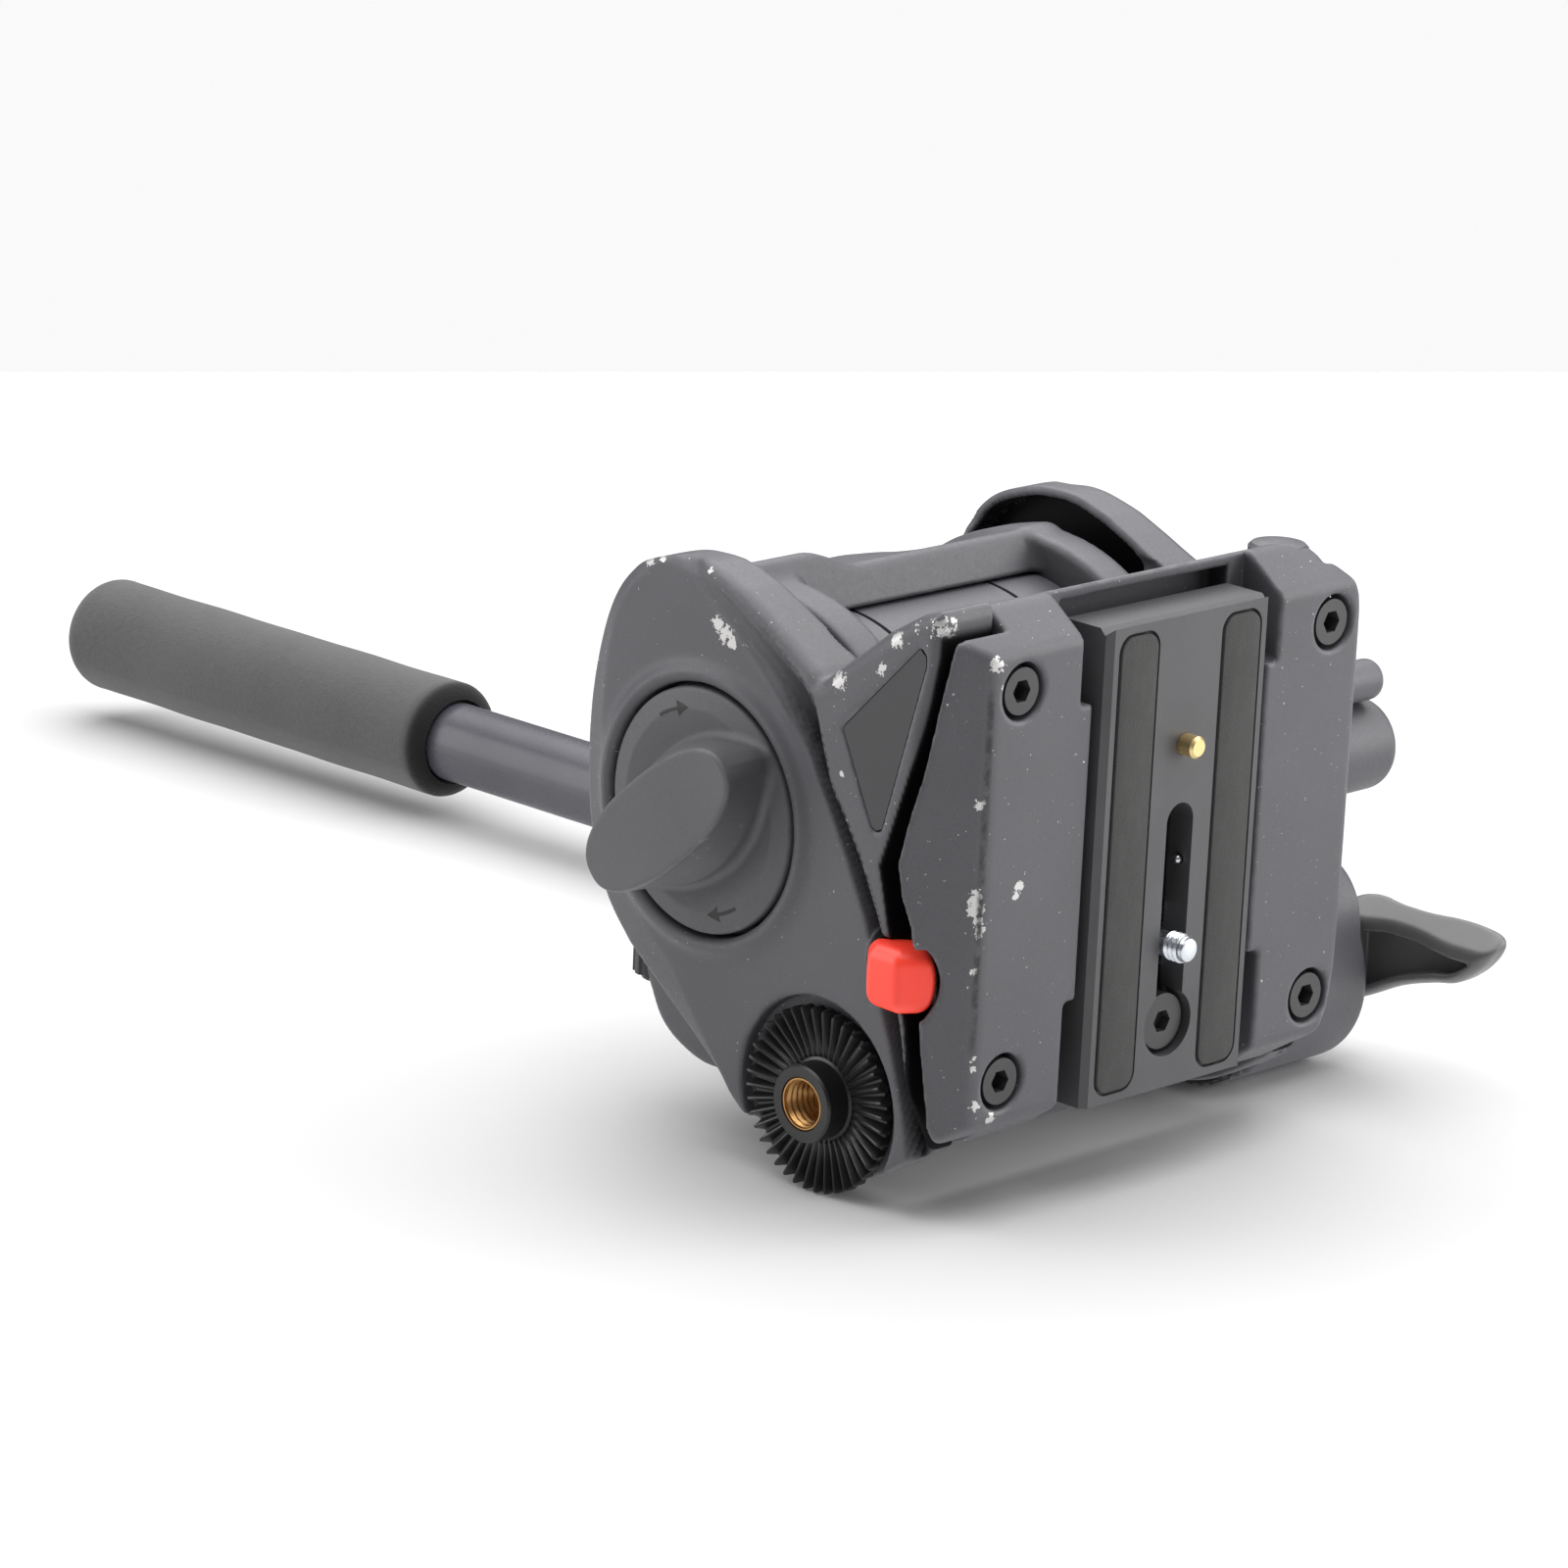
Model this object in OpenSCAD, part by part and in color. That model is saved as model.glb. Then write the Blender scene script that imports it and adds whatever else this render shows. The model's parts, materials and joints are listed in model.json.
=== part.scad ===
// Fluid video head with a sliding camera plate and a pan bar.
// Origin: centre of the base's underside, on the pan axis. +Z up, -Y is the front, +X is the side of the tilt lock knob.
// Units are millimetres. Shapes of the tilting part are written about the tilt axis.

/* [Stance] */
// Height of the tilt axis above the base's underside
tilt_h = 46; // [45:0.5:50]
// Height of the platform's top face above the tilt axis
plat_top = 79; // [78.5:0.25:80]

/* [Base] */
// Radius of the base plate
base_r = 30; // [28:0.5:32]
// Radius of the tripod thread (3/8 inch, 16 turns per inch)
tripod_thread_r = 4.7625; // [4.7625, 5]

/* [Platform] */
// Half width of the platform's flat top
plat_hw = 57; // [56:0.25:58]
// Half spacing of the platform screws across
screw_x = 48; // [47:0.25:49]
// Half spacing of the platform screws along
screw_y = 41.7; // [40:0.1:42]
// Half width of the channel's mouth
mouth_hw = 27; // [26.5:0.1:27.2]

/* [Camera plate] */
// Length of the sliding plate
plate_len = 103.5; // [98:0.5:105]
// Half width of the sliding plate
plate_hw = 25; // [24:0.25:25.5]
// Radius of the camera screw (1/4 inch, 20 turns per inch)
cam_screw_r = 3.175; // [3.175, 4.7625]
// Radius of the video pin
pin_r = 2.4; // [2:0.1:2.6]

/* [Tilt lock knob] */
// Radius of the knob
knob_r = 26.9; // [25:0.1:27]
// Height of the knob's grip above the cheek
knob_h = 14.2; // [12:0.1:16]

/* [Rosettes] */
// Rosette position behind the tilt axis
ros_y = 54.5; // [54:0.1:55]
// Rosette position above the tilt axis
ros_z = 37.2; // [36.5:0.1:38]
// Outer radius of the rosette teeth
ros_r = 20.2; // [19.5:0.1:20.5]
// Number of teeth
ros_n = 40; // [36:1:44]

/* [Pan bar] */
// Radius of the bar's tube
tube_r = 10; // [9.5:0.1:10.3]
// Radius of the foam grip
grip_r = 14.9; // [14:0.1:15.5]
// Length of the grip
grip_len = 143; // [135:1:160]
// Distance from the rosette axis to the grip's far end
bar_reach = 413; // [400:1:430]
// Slant of the bar against the pan axis
bar_slant = 0.62; // [0:0.01:1]

/* [Hidden] */
$fn = 72;

grey = [0.27, 0.27, 0.29];
dark = [0.16, 0.16, 0.17];
black = [0.06, 0.06, 0.06];
steel = [0.72, 0.73, 0.75];
brass = [0.80, 0.64, 0.32];
red = [0.88, 0.22, 0.18];

knob_x = 60;          // face of the cheek around the knob
band_x = 66;          // face of the raised Y-shaped rib
floor_z = 67.5;       // floor of the plate channel
chan_hw = 29;         // half width of the channel's groove
pocket_hw = 30.5;     // half width of the entry pockets
step_f = -35.8;       // front entry step
step_r = 28;          // rear entry step
bar_x = -82;          // pan bar axis
bar_off = 4.8;        // pan bar axis behind the rosette axis
clamp_r = 20.4;       // clamp hub
lock_y = -4;          // plate lock axis
lock_z = 57;

// ---- helpers -------------------------------------------------------------
module T() { translate([0, 0, tilt_h]) children(); }
module yz(x0, x1) { translate([x0, 0, 0]) rotate([90, 0, 90]) linear_extrude(x1 - x0) children(); }
module xz(y0, y1) { translate([0, y1, 0]) rotate([90, 0, 0]) linear_extrude(y1 - y0) children(); }
module cx(x0, x1, r) { translate([x0, 0, 0]) rotate([0, 90, 0]) cylinder(h = x1 - x0, r = r); }
module cy(y0, y1, r) { translate([0, y0, 0]) rotate([-90, 0, 0]) cylinder(h = y1 - y0, r = r); }
module at(y, z) { translate([0, y, z]) children(); }
function cr(a, b, c, d, t) = 0.5 * (2 * b + (c - a) * t + (2 * a - 5 * b + 4 * c - d) * t * t + (3 * b - a - 3 * c + d) * t * t * t);
function curve(P, n = 5) = let (m = len(P) - 1) concat(
  [for (i = [0:m - 1]) for (k = [0:n - 1]) cr(P[max(i - 1, 0)], P[i], P[i + 1], P[min(i + 2, m)], k / n)], [P[m]]);
module slot2d(y0, y1, r) { union() { translate([-r, y0]) square([2 * r, y1 - y0]); translate([0, y0]) circle(r); translate([0, y1]) circle(r); } }
module rbox2d(x0, y0, x1, y1, r) {
  union() {
    translate([x0 + r, y0]) square([x1 - x0 - 2 * r, y1 - y0]);
    translate([x0, y0 + r]) square([x1 - x0, y1 - y0 - 2 * r]);
    for (x = [x0 + r, x1 - r]) for (y = [y0 + r, y1 - r]) translate([x, y]) circle(r);
  }
}
// round wire along a helix on the axis X, closed polyhedron
module coil_x(r, w, x0, x1, turns, steps, sides) {
  n = steps;
  pts = [for (i = [0:n]) let (a = 360 * turns * i / n, x = x0 + (x1 - x0) * i / n)
    for (k = [0:sides - 1]) let (b = 360 * k / sides, q = r + w * cos(b)) [x + w * sin(b), q * cos(a), q * sin(a)]];
  faces = concat(
    [[for (k = [0:sides - 1]) k]],
    [for (i = [0:n - 1]) for (k = [0:sides - 1]) let (j = (k + 1) % sides) [i * sides + k, (i + 1) * sides + k, (i + 1) * sides + j, i * sides + j]],
    [[for (k = [sides - 1:-1:0]) n * sides + k]]);
  polyhedron(points = pts, faces = faces, convexity = 6);
}
// socket-head cap screw standing along +Z, top of the head at z = 0
module cap_screw(head_r, head_h, shank_r, len, hex_r) {
  difference() {
    union() { translate([0, 0, -head_h]) cylinder(h = head_h, r = head_r); translate([0, 0, -head_h - len]) cylinder(h = len + 0.1, r = shank_r); }
    translate([0, 0, -head_h * 0.6]) cylinder(h = head_h, r = hex_r, $fn = 6);
  }
}

// ---- outlines about the tilt axis, as (y, z) -------------------------------
lobe = [[-50.6, 10.8], [-53.2, 2], [-53.7, -5], [-52.6, -13.5], [-47.8, -25], [-38.2, -32.4], [-22, -36.8], [-5, -38], [12, -36.4], [26, -31], [35.5, -23]];
vee = [[57.5, 68.4], [36, 68.6], [28, 67.4], [10, 61.8], [-3, 58.4], [-16, 62.8], [-27, 66.4], [-40, 69.6], [-50, 71.4], [-57, 71.8]];
// lower edge of the platform over that seam
plat_low = [[70, 74], [47, 73.1], [35, 72.2], [23, 71.4], [7, 70.3], [0, 69], [-7, 68.3], [-16, 69.4], [-26, 70.9], [-40, 72.3], [-51, 73.5], [-70, 75.5]];
// dark valley between the outer face and the rib
valley = [[-27, 23.5], [-21, 29], [-13, 34], [-8, 37.5], [-3, 40.5], [1.5, 43], [8.5, 46.7], [15, 50], [30, 54.5], [38, 58], [34.5, 67.7], [26, 65.6], [11, 60.2], [4.5, 57], [0.5, 55], [-7, 50.7], [-12, 47.5], [-17, 43.6], [-30, 39], [-34, 33]];
wing_front = [[-59.4, 71], [-57.5, 65], [-52, 56.2], [-45.6, 48], [-40, 40.5], [-37.6, 37.6], [-37.6, 36.4], [-38.9, 34.6], [-43.2, 26.3], [-47.3, 18]];
// rear edge: behind the rosette, then out to the lower corner
rear = concat([[49, -4.3]], curve([[57, 6.8], [65.5, 18], [70.5, 29.5], [71.5, 40], [69.5, 49], [65.5, 57], [60, 65.5]]));
cheek_pts = concat(curve(lobe), rear, vee, wing_front);
// the same with the front lobe pulled in, for the chamfered outer edge
face_pts = concat(curve([for (p = lobe) p * 0.945]), rear, vee, wing_front);
band_pts = concat([[-53, -8], [-53.3, -3], [-50.4, 10.6], [-47.2, 17.9], [-43.1, 26.2], [-38.8, 34.5], [-37.6, 36.4], [-37.6, 37.6], [-40, 40.5], [-45.6, 48], [-52, 56.2], [-57.5, 65], [-59.4, 71]],
  [[-57, 71.8], [-50, 71.4], [-40, 69.6], [-27, 66.4], [-16, 62.8], [-3, 58.4], [10, 61.8], [28, 67.4], [36, 68.6]],
  [[46, 69.5], [24, 62.5]], curve([[14, 57.5], [5, 54], [-10, 46], [-23, 35.5], [-33, 25], [-43, 12], [-50, 1]]));

// ---- base -------------------------------------------------------------------
module base_plate() {
  color(dark) difference() {
    rotate_extrude() polygon([[0, 0], [base_r - 1, 0], [base_r, 1], [base_r, 7.5], [base_r - 1.5, 9], [0, 9]]);
    translate([0, 0, -1]) cylinder(h = 12, r = 7);
    translate([0, 0, -0.01]) difference() { cylinder(h = 0.8, r = base_r - 6); translate([0, 0, -1]) cylinder(h = 3, r = 12); }
  }
}
module tripod_insert() { color(brass) difference() { cylinder(h = 9, r = 7); translate([0, 0, -1]) cylinder(h = 11, r = tripod_thread_r); } }
module pan_spindle() {
  color(steel) rotate_extrude() polygon([[5.5, 9], [16, 9], [16, 10.6], [9, 10.6], [9, 28.5], [5.5, 28.5]]);
}
module pan_bearing() { color(steel) translate([0, 0, 9]) difference() { cylinder(h = 1.6, r = 27); translate([0, 0, -1]) cylinder(h = 4, r = 18); } }
module pan_fluid_disc() { color(dark) translate([0, 0, 18]) difference() { cylinder(h = 1.8, r = 24); translate([0, 0, -1]) cylinder(h = 4, r = 9); } }
module spindle_nut() { color(steel) translate([0, 0, 20.2]) difference() { cylinder(h = 6, r = 14, $fn = 6); translate([0, 0, -1]) cylinder(h = 8, r = 9); } }

// ---- pan housing --------------------------------------------------------------
arm_l = curve([[30, -31], [42, -30.5], [48, -28.7], [55.5, -24.6], [60, -18], [62.3, -9], [60.2, 2], [52.5, 13], [43, 21.5], [32, 30]], 4);
module screw_seats() { T() for (s = [-1, 1]) for (a = [45, 135]) rotate([a, 0, 0]) translate([s > 0 ? 44.5 : -46.5, 24, 0]) rotate([0, s * 90, 0]) { translate([0, 0, -3]) cylinder(h = 8, r = 4.6); translate([0, 0, -14]) cylinder(h = 14, r = 2.4); } }
module pan_housing() {
  color(grey) difference() {
    union() {
      // bowl over the base
      rotate_extrude() polygon(concat([[0, 11]], [[30, 11], [33, 12], [36.5, 15], [39.5, 19], [41.5, 23], [42.5, 28], [42.5, 34], [0, 34]]));
      // cradle between the arms
      intersection() {
        union() {
          yz(-46, 46) polygon(concat(curve([[-33, 13], [-39, 23], [-43.6, 34], [-48, 46.2], [-48.2, 48.4], [-46.5, 49.4]], 4), [[40, 49], [52, 40], [54, 30], [50, 20], [42, 14]]));
          // fuller front on the left
          yz(23, 45) polygon(concat(curve([[-36, 14], [-43, 25], [-48, 36], [-52.4, 46], [-52.6, 48.4], [-50.6, 49.4]], 4), [[-38, 49], [-30, 14]]));
          yz(18, 23) polygon(concat(curve([[-34.5, 14], [-41, 24], [-46, 35], [-50.2, 46], [-50.4, 48.4], [-48.6, 49.4]], 4), [[-38, 49], [-30, 14]]));
        }
        translate([0, 0, 12]) linear_extrude(60) rbox2d(-46, -54, 46, 56, 12);
      }
      // round end discs on the tilt axis, the left one with a rear lobe
      intersection() {
        T() union() { cx(-46.5, -36.5, 46.5); cx(34.5, 44.5, 46.5); yz(34.5, 46.5) polygon(concat([[-4, -20], [10, -33]], arm_l, [[10, 30]])); }
        translate([-60, -60, 12]) cube([120, 140, 100]);
      }
      // seat of the spirit level and ear of the pan lock
      translate([8, 50, 30]) cylinder(h = 12.5, r = 10.5);
      translate([40, 0, 16]) cy(14, 36, 8);
    }
    // saddle for the tilt cartridge
    T() cx(-36.5, 34.5, 38.6);
    translate([-36.5, -38.6, 46]) cube([71, 77.2, 60]);
    // chamber of the pan cartridge
    translate([0, 0, 16]) cylinder(h = 40, r = 27);
    translate([0, 0, 5]) cylinder(h = 20, r = 12);
    T() cx(-60, 60, 8);
    translate([8, 50, 37.5]) cylinder(h = 10, r = 8.5);
    translate([40, 0, 16]) cy(10, 40, 3);
    // room round the pan lock's knob
    translate([40, 0, 16]) cy(36, 70, 9);
    translate([0, 0, -1]) cylinder(h = 12, r = 60);
    screw_seats();
  }
}
module pan_bush() { color(brass) translate([0, 0, 12.3]) difference() { cylinder(h = 3.7, r = 12); translate([0, 0, -1]) cylinder(h = 6, r = 9.06); } }
module tilt_cartridge() {
  color(grey) difference() {
    intersection() {
      T() union() { cx(-36.3, 34.3, 38.2); }
      translate([-50, -60, 28.8]) cube([100, 120, 80]);
    }
    T() cx(-60, 60, 8);
    T() cx(-20, 20, 15.6);
    screw_seats();
    // shallow grooves round the drum
    for (x = [-22, 20]) T() difference() { cx(x - 0.6, x + 0.6, 60); cx(x - 1, x + 1, 37.4); }
  }
}
module tilt_axle() {
  color(steel) T() union() { cx(-57.5, 53, 8); cx(53, 58.4, 5); }
}
module counterbalance_spring() { color(steel) T() coil_x(12, 1.4, -17, 17, 7, 80, 8); }
module level_body() { color(black) translate([8, 50, 37.5]) difference() { cylinder(h = 6.2, r = 8.5); translate([0, 0, 2]) cylinder(h = 8, r = 6.4); } }
module level_vial() { color([0.82, 0.85, 0.25]) translate([8, 50, 39.5]) union() { cylinder(h = 3.2, r = 6.4); translate([0, 0, 3.2]) intersection() { translate([0, 0, -19]) sphere(r = 20.2); cylinder(h = 3, r = 6.2); } } }
module housing_screws() {
  // screws that hold the cartridge to the arms, two a side
  color(black) T() for (s = [-1, 1]) for (a = [45, 135]) rotate([a, 0, 0]) translate([s > 0 ? 44.5 : -46.5, 24, 0]) rotate([0, s * 90, 0]) translate([0, 0, -0.4]) cap_screw(4.4, 2.6, 2.4, 11, 2.2);
}
module pan_lock_stud() { color(steel) translate([40, 0, 16]) cy(11, 46, 2.94); }
module pan_lock_knob() {
  color(black) translate([40, 0, 16]) difference() {
    union() {
      cy(36.4, 39.5, 5);
      difference() { cy(39.5, 47, 7); for (k = [0:11]) rotate([0, 30 * k, 0]) translate([7.8, 0, 0]) cy(39, 48, 1.3); }
      cy(47, 48.4, 5);
    }
    cy(30, 46.1, 2.96);
  }
}

// ---- cheeks -----------------------------------------------------------------------
module cheek_solid() {
  union() {
    yz(50.2, 57) polygon(cheek_pts);
    yz(57, 58.6) polygon([for (i = [0:len(cheek_pts) - 1]) (cheek_pts[i] + face_pts[i]) / 2]);
    yz(57, knob_x) polygon(face_pts);
    // Y-shaped rib: full height at the top, running out at the front lobe
    intersection() {
      yz(knob_x, band_x) polygon(band_pts);
      at(-55, -14) rotate([20, 0, 0]) rotate([0, -6.2, 0]) translate([0, -60, -60]) translate([-40, 0, 0]) cube([101.2, 200, 300]);
    }
    // fillet steps along the rib
    intersection() {
      yz(knob_x, knob_x + 2) polygon(concat([[-53, -10], [-53.3, -3], [-50.4, 10.6], [-43.1, 26.2], [-38.8, 34.5], [-30, 40], [0, 62], [30, 62]], curve([[15, 53.5], [2, 48.5], [-13, 40], [-26, 29], [-36, 17], [-46, 2], [-51.5, -6]])));
      at(-55, -14) rotate([20, 0, 0]) rotate([0, -3, 0]) translate([-40, -60, -60]) cube([101.2, 200, 300]);
    }
    // bosses that take the platform screws
    for (y = [-screw_y, screw_y]) translate([screw_x, y, 54]) cylinder(h = 8, r = 6);
    // lip round the knob
    difference() { cx(knob_x - 1, knob_x + 1.2, 31); cx(knob_x - 2, knob_x + 2, 27.8); }
  }
}
badge_pts = [[-51, 66.3], [-49.6, 68], [-47.6, 68.2], [-10.3, 57.8], [-9.6, 56], [-10.4, 54.8], [-29.2, 45.4], [-30.4, 46.2]];
badge_mid = [-31, 57];
module badge_2d(g) {
  // corners of the inlay, drawn in a little by g
  polygon([for (p = badge_pts) badge_mid + (p - badge_mid) * (1 - 0.09 * g)]);
}
// cuts that both cheeks share
module cheek_cuts() {
  cx(54.6, 70, knob_r + 0.7);
  cx(40, 70, 11);
  at(ros_y, ros_z) cx(56.5, 80, 22.8);
  at(ros_y, ros_z) cx(40, 80, 5.8);
  at(ros_y, ros_z) cx(52, 80, 9);
  for (y = [-screw_y, screw_y]) translate([screw_x, y, 50]) cylinder(h = 40, r = 3);
  // hollow of the front lobe
  difference() { yz(45, 56) intersection() { scale(0.85) polygon(cheek_pts); translate([-60, -60]) square([72, 82]); } cx(40, 60, 30); }
}
module left_cheek() {
  color(grey) T() difference() {
    cheek_solid();
    cheek_cuts();
    yz(band_x - 1.2, band_x + 5) badge_2d(0);
    // pocket of the release button and bore of its spring
    BT() translate([83.4, -7.7, -7.6]) cube([50, 15.4, 15.4]);
    BT() cx(75, 90, 3.06);
    // valley beside the rib, leaving the boss under the button
    difference() { yz(56.4, 90) polygon(valley); BT() cx(60, 83.4, 7.4); }
    // guide of the brake pad
    at(0, -18) cx(45, 58, 4.9);
  }
}
module right_cheek() {
  color(grey) T() mirror([1, 0, 0]) difference() {
    cheek_solid();
    cheek_cuts();
    yz(56.4, 90) polygon(valley);
    // room for the plate lock and its screw
    at(lock_y, lock_z) cx(58.5, 90, 21.5);
    at(lock_y, lock_z) cx(40, 90, 4.5);
    yz(57, 90) polygon([[-70, 46], [-20, 46], [6, 53], [14, 80], [-70, 80]]);
    yz(40, 90) polygon([[-70, 44], [-47, 44], [-47, 80], [-70, 80]]);
  }
}
module badge_plate() { color(black) T() yz(band_x - 1.2, band_x - 0.3) badge_2d(0.22); }
module cheek_bushes() { color(brass) T() for (s = [0, 1]) mirror([s, 0, 0]) difference() { cx(50.2, 54.2, 11); cx(45, 60, 8.06); } }
module axle_cap() { color(grey) T() mirror([1, 0, 0]) rotate([0, 90, 0]) rotate_extrude() polygon([[0, 58], [9, 58], [9, 54.6], [27.3, 54.6], [27.3, 59.6], [26.5, 60.4], [23.2, 60.7], [22.8, 60], [21.8, 60], [21.4, 61], [16, 62], [9, 62.8], [0, 63]]); }
module tilt_brake_pad() { color(brass) T() at(0, -18) cx(46.8, 54.4, 4.9); }

// ---- platform ------------------------------------------------------------------------
module platform() {
  color(grey) T() difference() {
    intersection() {
      xz(-58, 58) polygon([[-plat_hw, plat_top], [plat_hw, plat_top], [74, 67.5], [73.4, 66.4], [50, 60], [44, 55], [-44, 55], [-50, 60], [-73.4, 66.4], [-74, 67.5]]);
      yz(-80, 80) polygon([[-50.3, plat_top], [50.3, plat_top], [58, 68.5], [58, 62], [52, 55], [-52, 55], [-57.6, 66.8], [-58, 68.3]]);
      // plan with cut corners
      linear_extrude(200) polygon([[-44, -58], [51, -58], [58, -54], [75, -36], [75, 38], [62, 54], [54, 58], [-56, 58], [-66, 54], [-75, 42], [-75, -36], [-57.6, -39], [-57.2, -43], [-56.2, -47], [-54.2, -51], [-51.2, -54.4], [-48, -56.6]]);
    }
    // lower edges above the cheeks
    yz(49.5, 90) polygon(concat([[70, 40]], plat_low, [[-70, 40]]));
    mirror([1, 0, 0]) yz(49.5, 90) polygon(concat([[70, 40]], plat_low, [[-70, 40]]));
    // straight side over the plate lock
    translate([-90, -70, 40]) cube([90 - plat_hw - 0.6, 70 + 33, 60]);
    // channel, groove and entry pockets
    translate([-mouth_hw, -70, floor_z]) cube([2 * mouth_hw, 140, 40]);
    translate([-chan_hw, -70, floor_z]) cube([2 * chan_hw, 140, 72.2 - floor_z]);
    translate([-pocket_hw, -70, floor_z]) cube([2 * pocket_hw, 70 + step_f, 40]);
    translate([-pocket_hw, step_r, floor_z]) cube([2 * pocket_hw, 70, 40]);
    // counterbores of the four screws
    for (x = [-1, 1]) for (y = [-1, 1]) translate([x * screw_x, y * screw_y, 0]) { translate([0, 0, plat_top - 6.4]) cylinder(h = 20, r = 6.2); translate([0, 0, 40]) cylinder(h = 60, r = 3.3); }
    // pocket of the release button
    BT() translate([85, -7.7, -7.6]) cube([50, 15.4, 15.4]);
    // bore of the plate lock screw
    at(lock_y, lock_z) cx(-70, -38, 4.06);
    // bosses of the cheeks come up from below
    for (x = [-1, 1]) for (y = [-1, 1]) translate([x * screw_x, y * screw_y, 40]) cylinder(h = 22.3, r = 6.3);
    // seat of the front cap
    translate([-46.5, 0, 63.4]) cy(-70, -49, 6.6);
    // slot before the front end of the plate
    translate([-26, -55, 61.5]) cube([52, 8, 10]);
    // hollow under the channel floor
    translate([-40, -46, 50]) cube([80, 92, 13]);
  }
}
module platform_screws() { color(black) T() for (x = [-1, 1]) for (y = [-1, 1]) translate([x * screw_x, y * screw_y, plat_top - 0.8]) cap_screw(5, 5.6, 3, 17, 2.6); }
module front_cap() { color(grey) T() translate([-46.5, 0, 63.4]) rotate([90, 0, 0]) rotate_extrude() polygon([[0, 49], [6.6, 49], [6.6, 55.4], [5.8, 56.2], [3.2, 56.7], [0, 56.9]]); }

// ---- rosettes -------------------------------------------------------------------------
module rosette() {
  at(ros_y, ros_z) difference() {
    union() {
      cx(56.5, 59, ros_r - 0.6);
      cx(53, 64.4, 8.4);
      // radial teeth, higher at the rim
      for (k = [0:ros_n - 1]) rotate([360 * k / ros_n, 0, 0]) translate([0, 0, 0]) yz_tooth();
    }
    cx(40, 80, 5.8);
  }
}
module yz_tooth() {
  intersection() {
    translate([58.6, 8, 0]) rotate([-90, 0, 0]) linear_extrude(ros_r - 8) polygon([[0, -1.25], [2.4, -0.18], [2.4, 0.18], [0, 1.25]]);
    cx(50, 70, ros_r);
  }
}
module left_rosette() { color(black) T() rosette(); }
module right_rosette() { color(black) T() mirror([1, 0, 0]) difference() { rosette(); at(ros_y, ros_z) cx(61.5, 80, 30); } }
module insert(x1) { at(ros_y, ros_z) difference() { cx(50.2, x1, 5.8); cx(40, 80, 4.7625); } }
module left_insert() { color(brass) T() insert(64.1); }
module right_insert() { color(brass) T() mirror([1, 0, 0]) insert(61.2); }

// ---- tilt lock knob ----------------------------------------------------------------------
module tilt_knob() {
  color(grey) T() difference() {
    union() {
      translate([0, 0, 0]) rotate([0, 90, 0]) rotate_extrude() polygon([[0, 55.1], [knob_r, 55.1], [knob_r, 59.2], [knob_r - 0.8, 60.2], [22, 61.6], [17, 61], [12, 60.4], [0, 60.2]]);
      // lens-shaped grip across the face
      intersection() {
        cx(57, knob_x + knob_h, 25.7);
        rotate([40, 0, 0]) union() {
          yz(57, 90) polygon([for (a = [0:6:354]) [10.4 * sign(cos(a)) * pow(abs(cos(a)), 0.84), 25.2 * sign(sin(a)) * pow(abs(sin(a)), 0.84)]]);
          // flared root
          intersection() { translate([0, 20, 0]) cx(57, 63, 35); translate([0, -20, 0]) cx(57, 63, 35); }
        }
      }
    }
    cx(50, 58.6, 7.5);
  }
}
module knob_bush() { color(brass) T() difference() { cx(54.9, 58.5, 7.5); cx(50, 62, 5.05); } }

// ---- release button ---------------------------------------------------------------------------
// the button's own frame: X points out along its travel
module BT() { at(19, 0) rotate([0, -45, 0]) children(); }
module release_button() {
  color(red) T() BT() union() {
    hull() for (y = [-5.3, 5.3]) for (p = [[95.4, 5.4], [96.3, -0.6], [91.8, -5.2], [89, 5.4], [89, -5.2]]) translate([p[0], y, p[1]]) sphere(r = 2, $fn = 28);
    cx(82, 90, 3);
  }
}
module button_spring() { color(steel) T() BT() coil_x(2.2, 0.45, 75.6, 81.4, 4, 64, 8); }

// ---- plate lock ----------------------------------------------------------------------------------
module lock_lever() {
  color(grey) T() difference() {
    union() {
      at(lock_y, lock_z) rotate([0, -90, 0]) rotate_extrude() polygon([[0, 60], [10.4, 60], [10.4, 81], [9.8, 84], [8, 86.4], [5, 87.6], [0, 88]]);
      // arm to the thumb tab
      hull() { at(lock_y, lock_z) cx(-66, -60, 7); at(lock_y - 15.6, lock_z + 3.2) cx(-66, -60, 4.4); }
      hull() { at(lock_y - 15.6, lock_z + 3.2) cx(-82.5, -60, 4.6); at(lock_y - 15.6, lock_z + 3.2) cx(-84, -60, 3.2); at(lock_y - 14.6, lock_z - 1) cx(-81, -60, 3.4); }
    }
    at(lock_y, lock_z) cx(-76, -50, 4);
  }
}
module lock_screw() { color(steel) T() at(lock_y, lock_z) cx(-76, -40, 4); }

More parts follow.
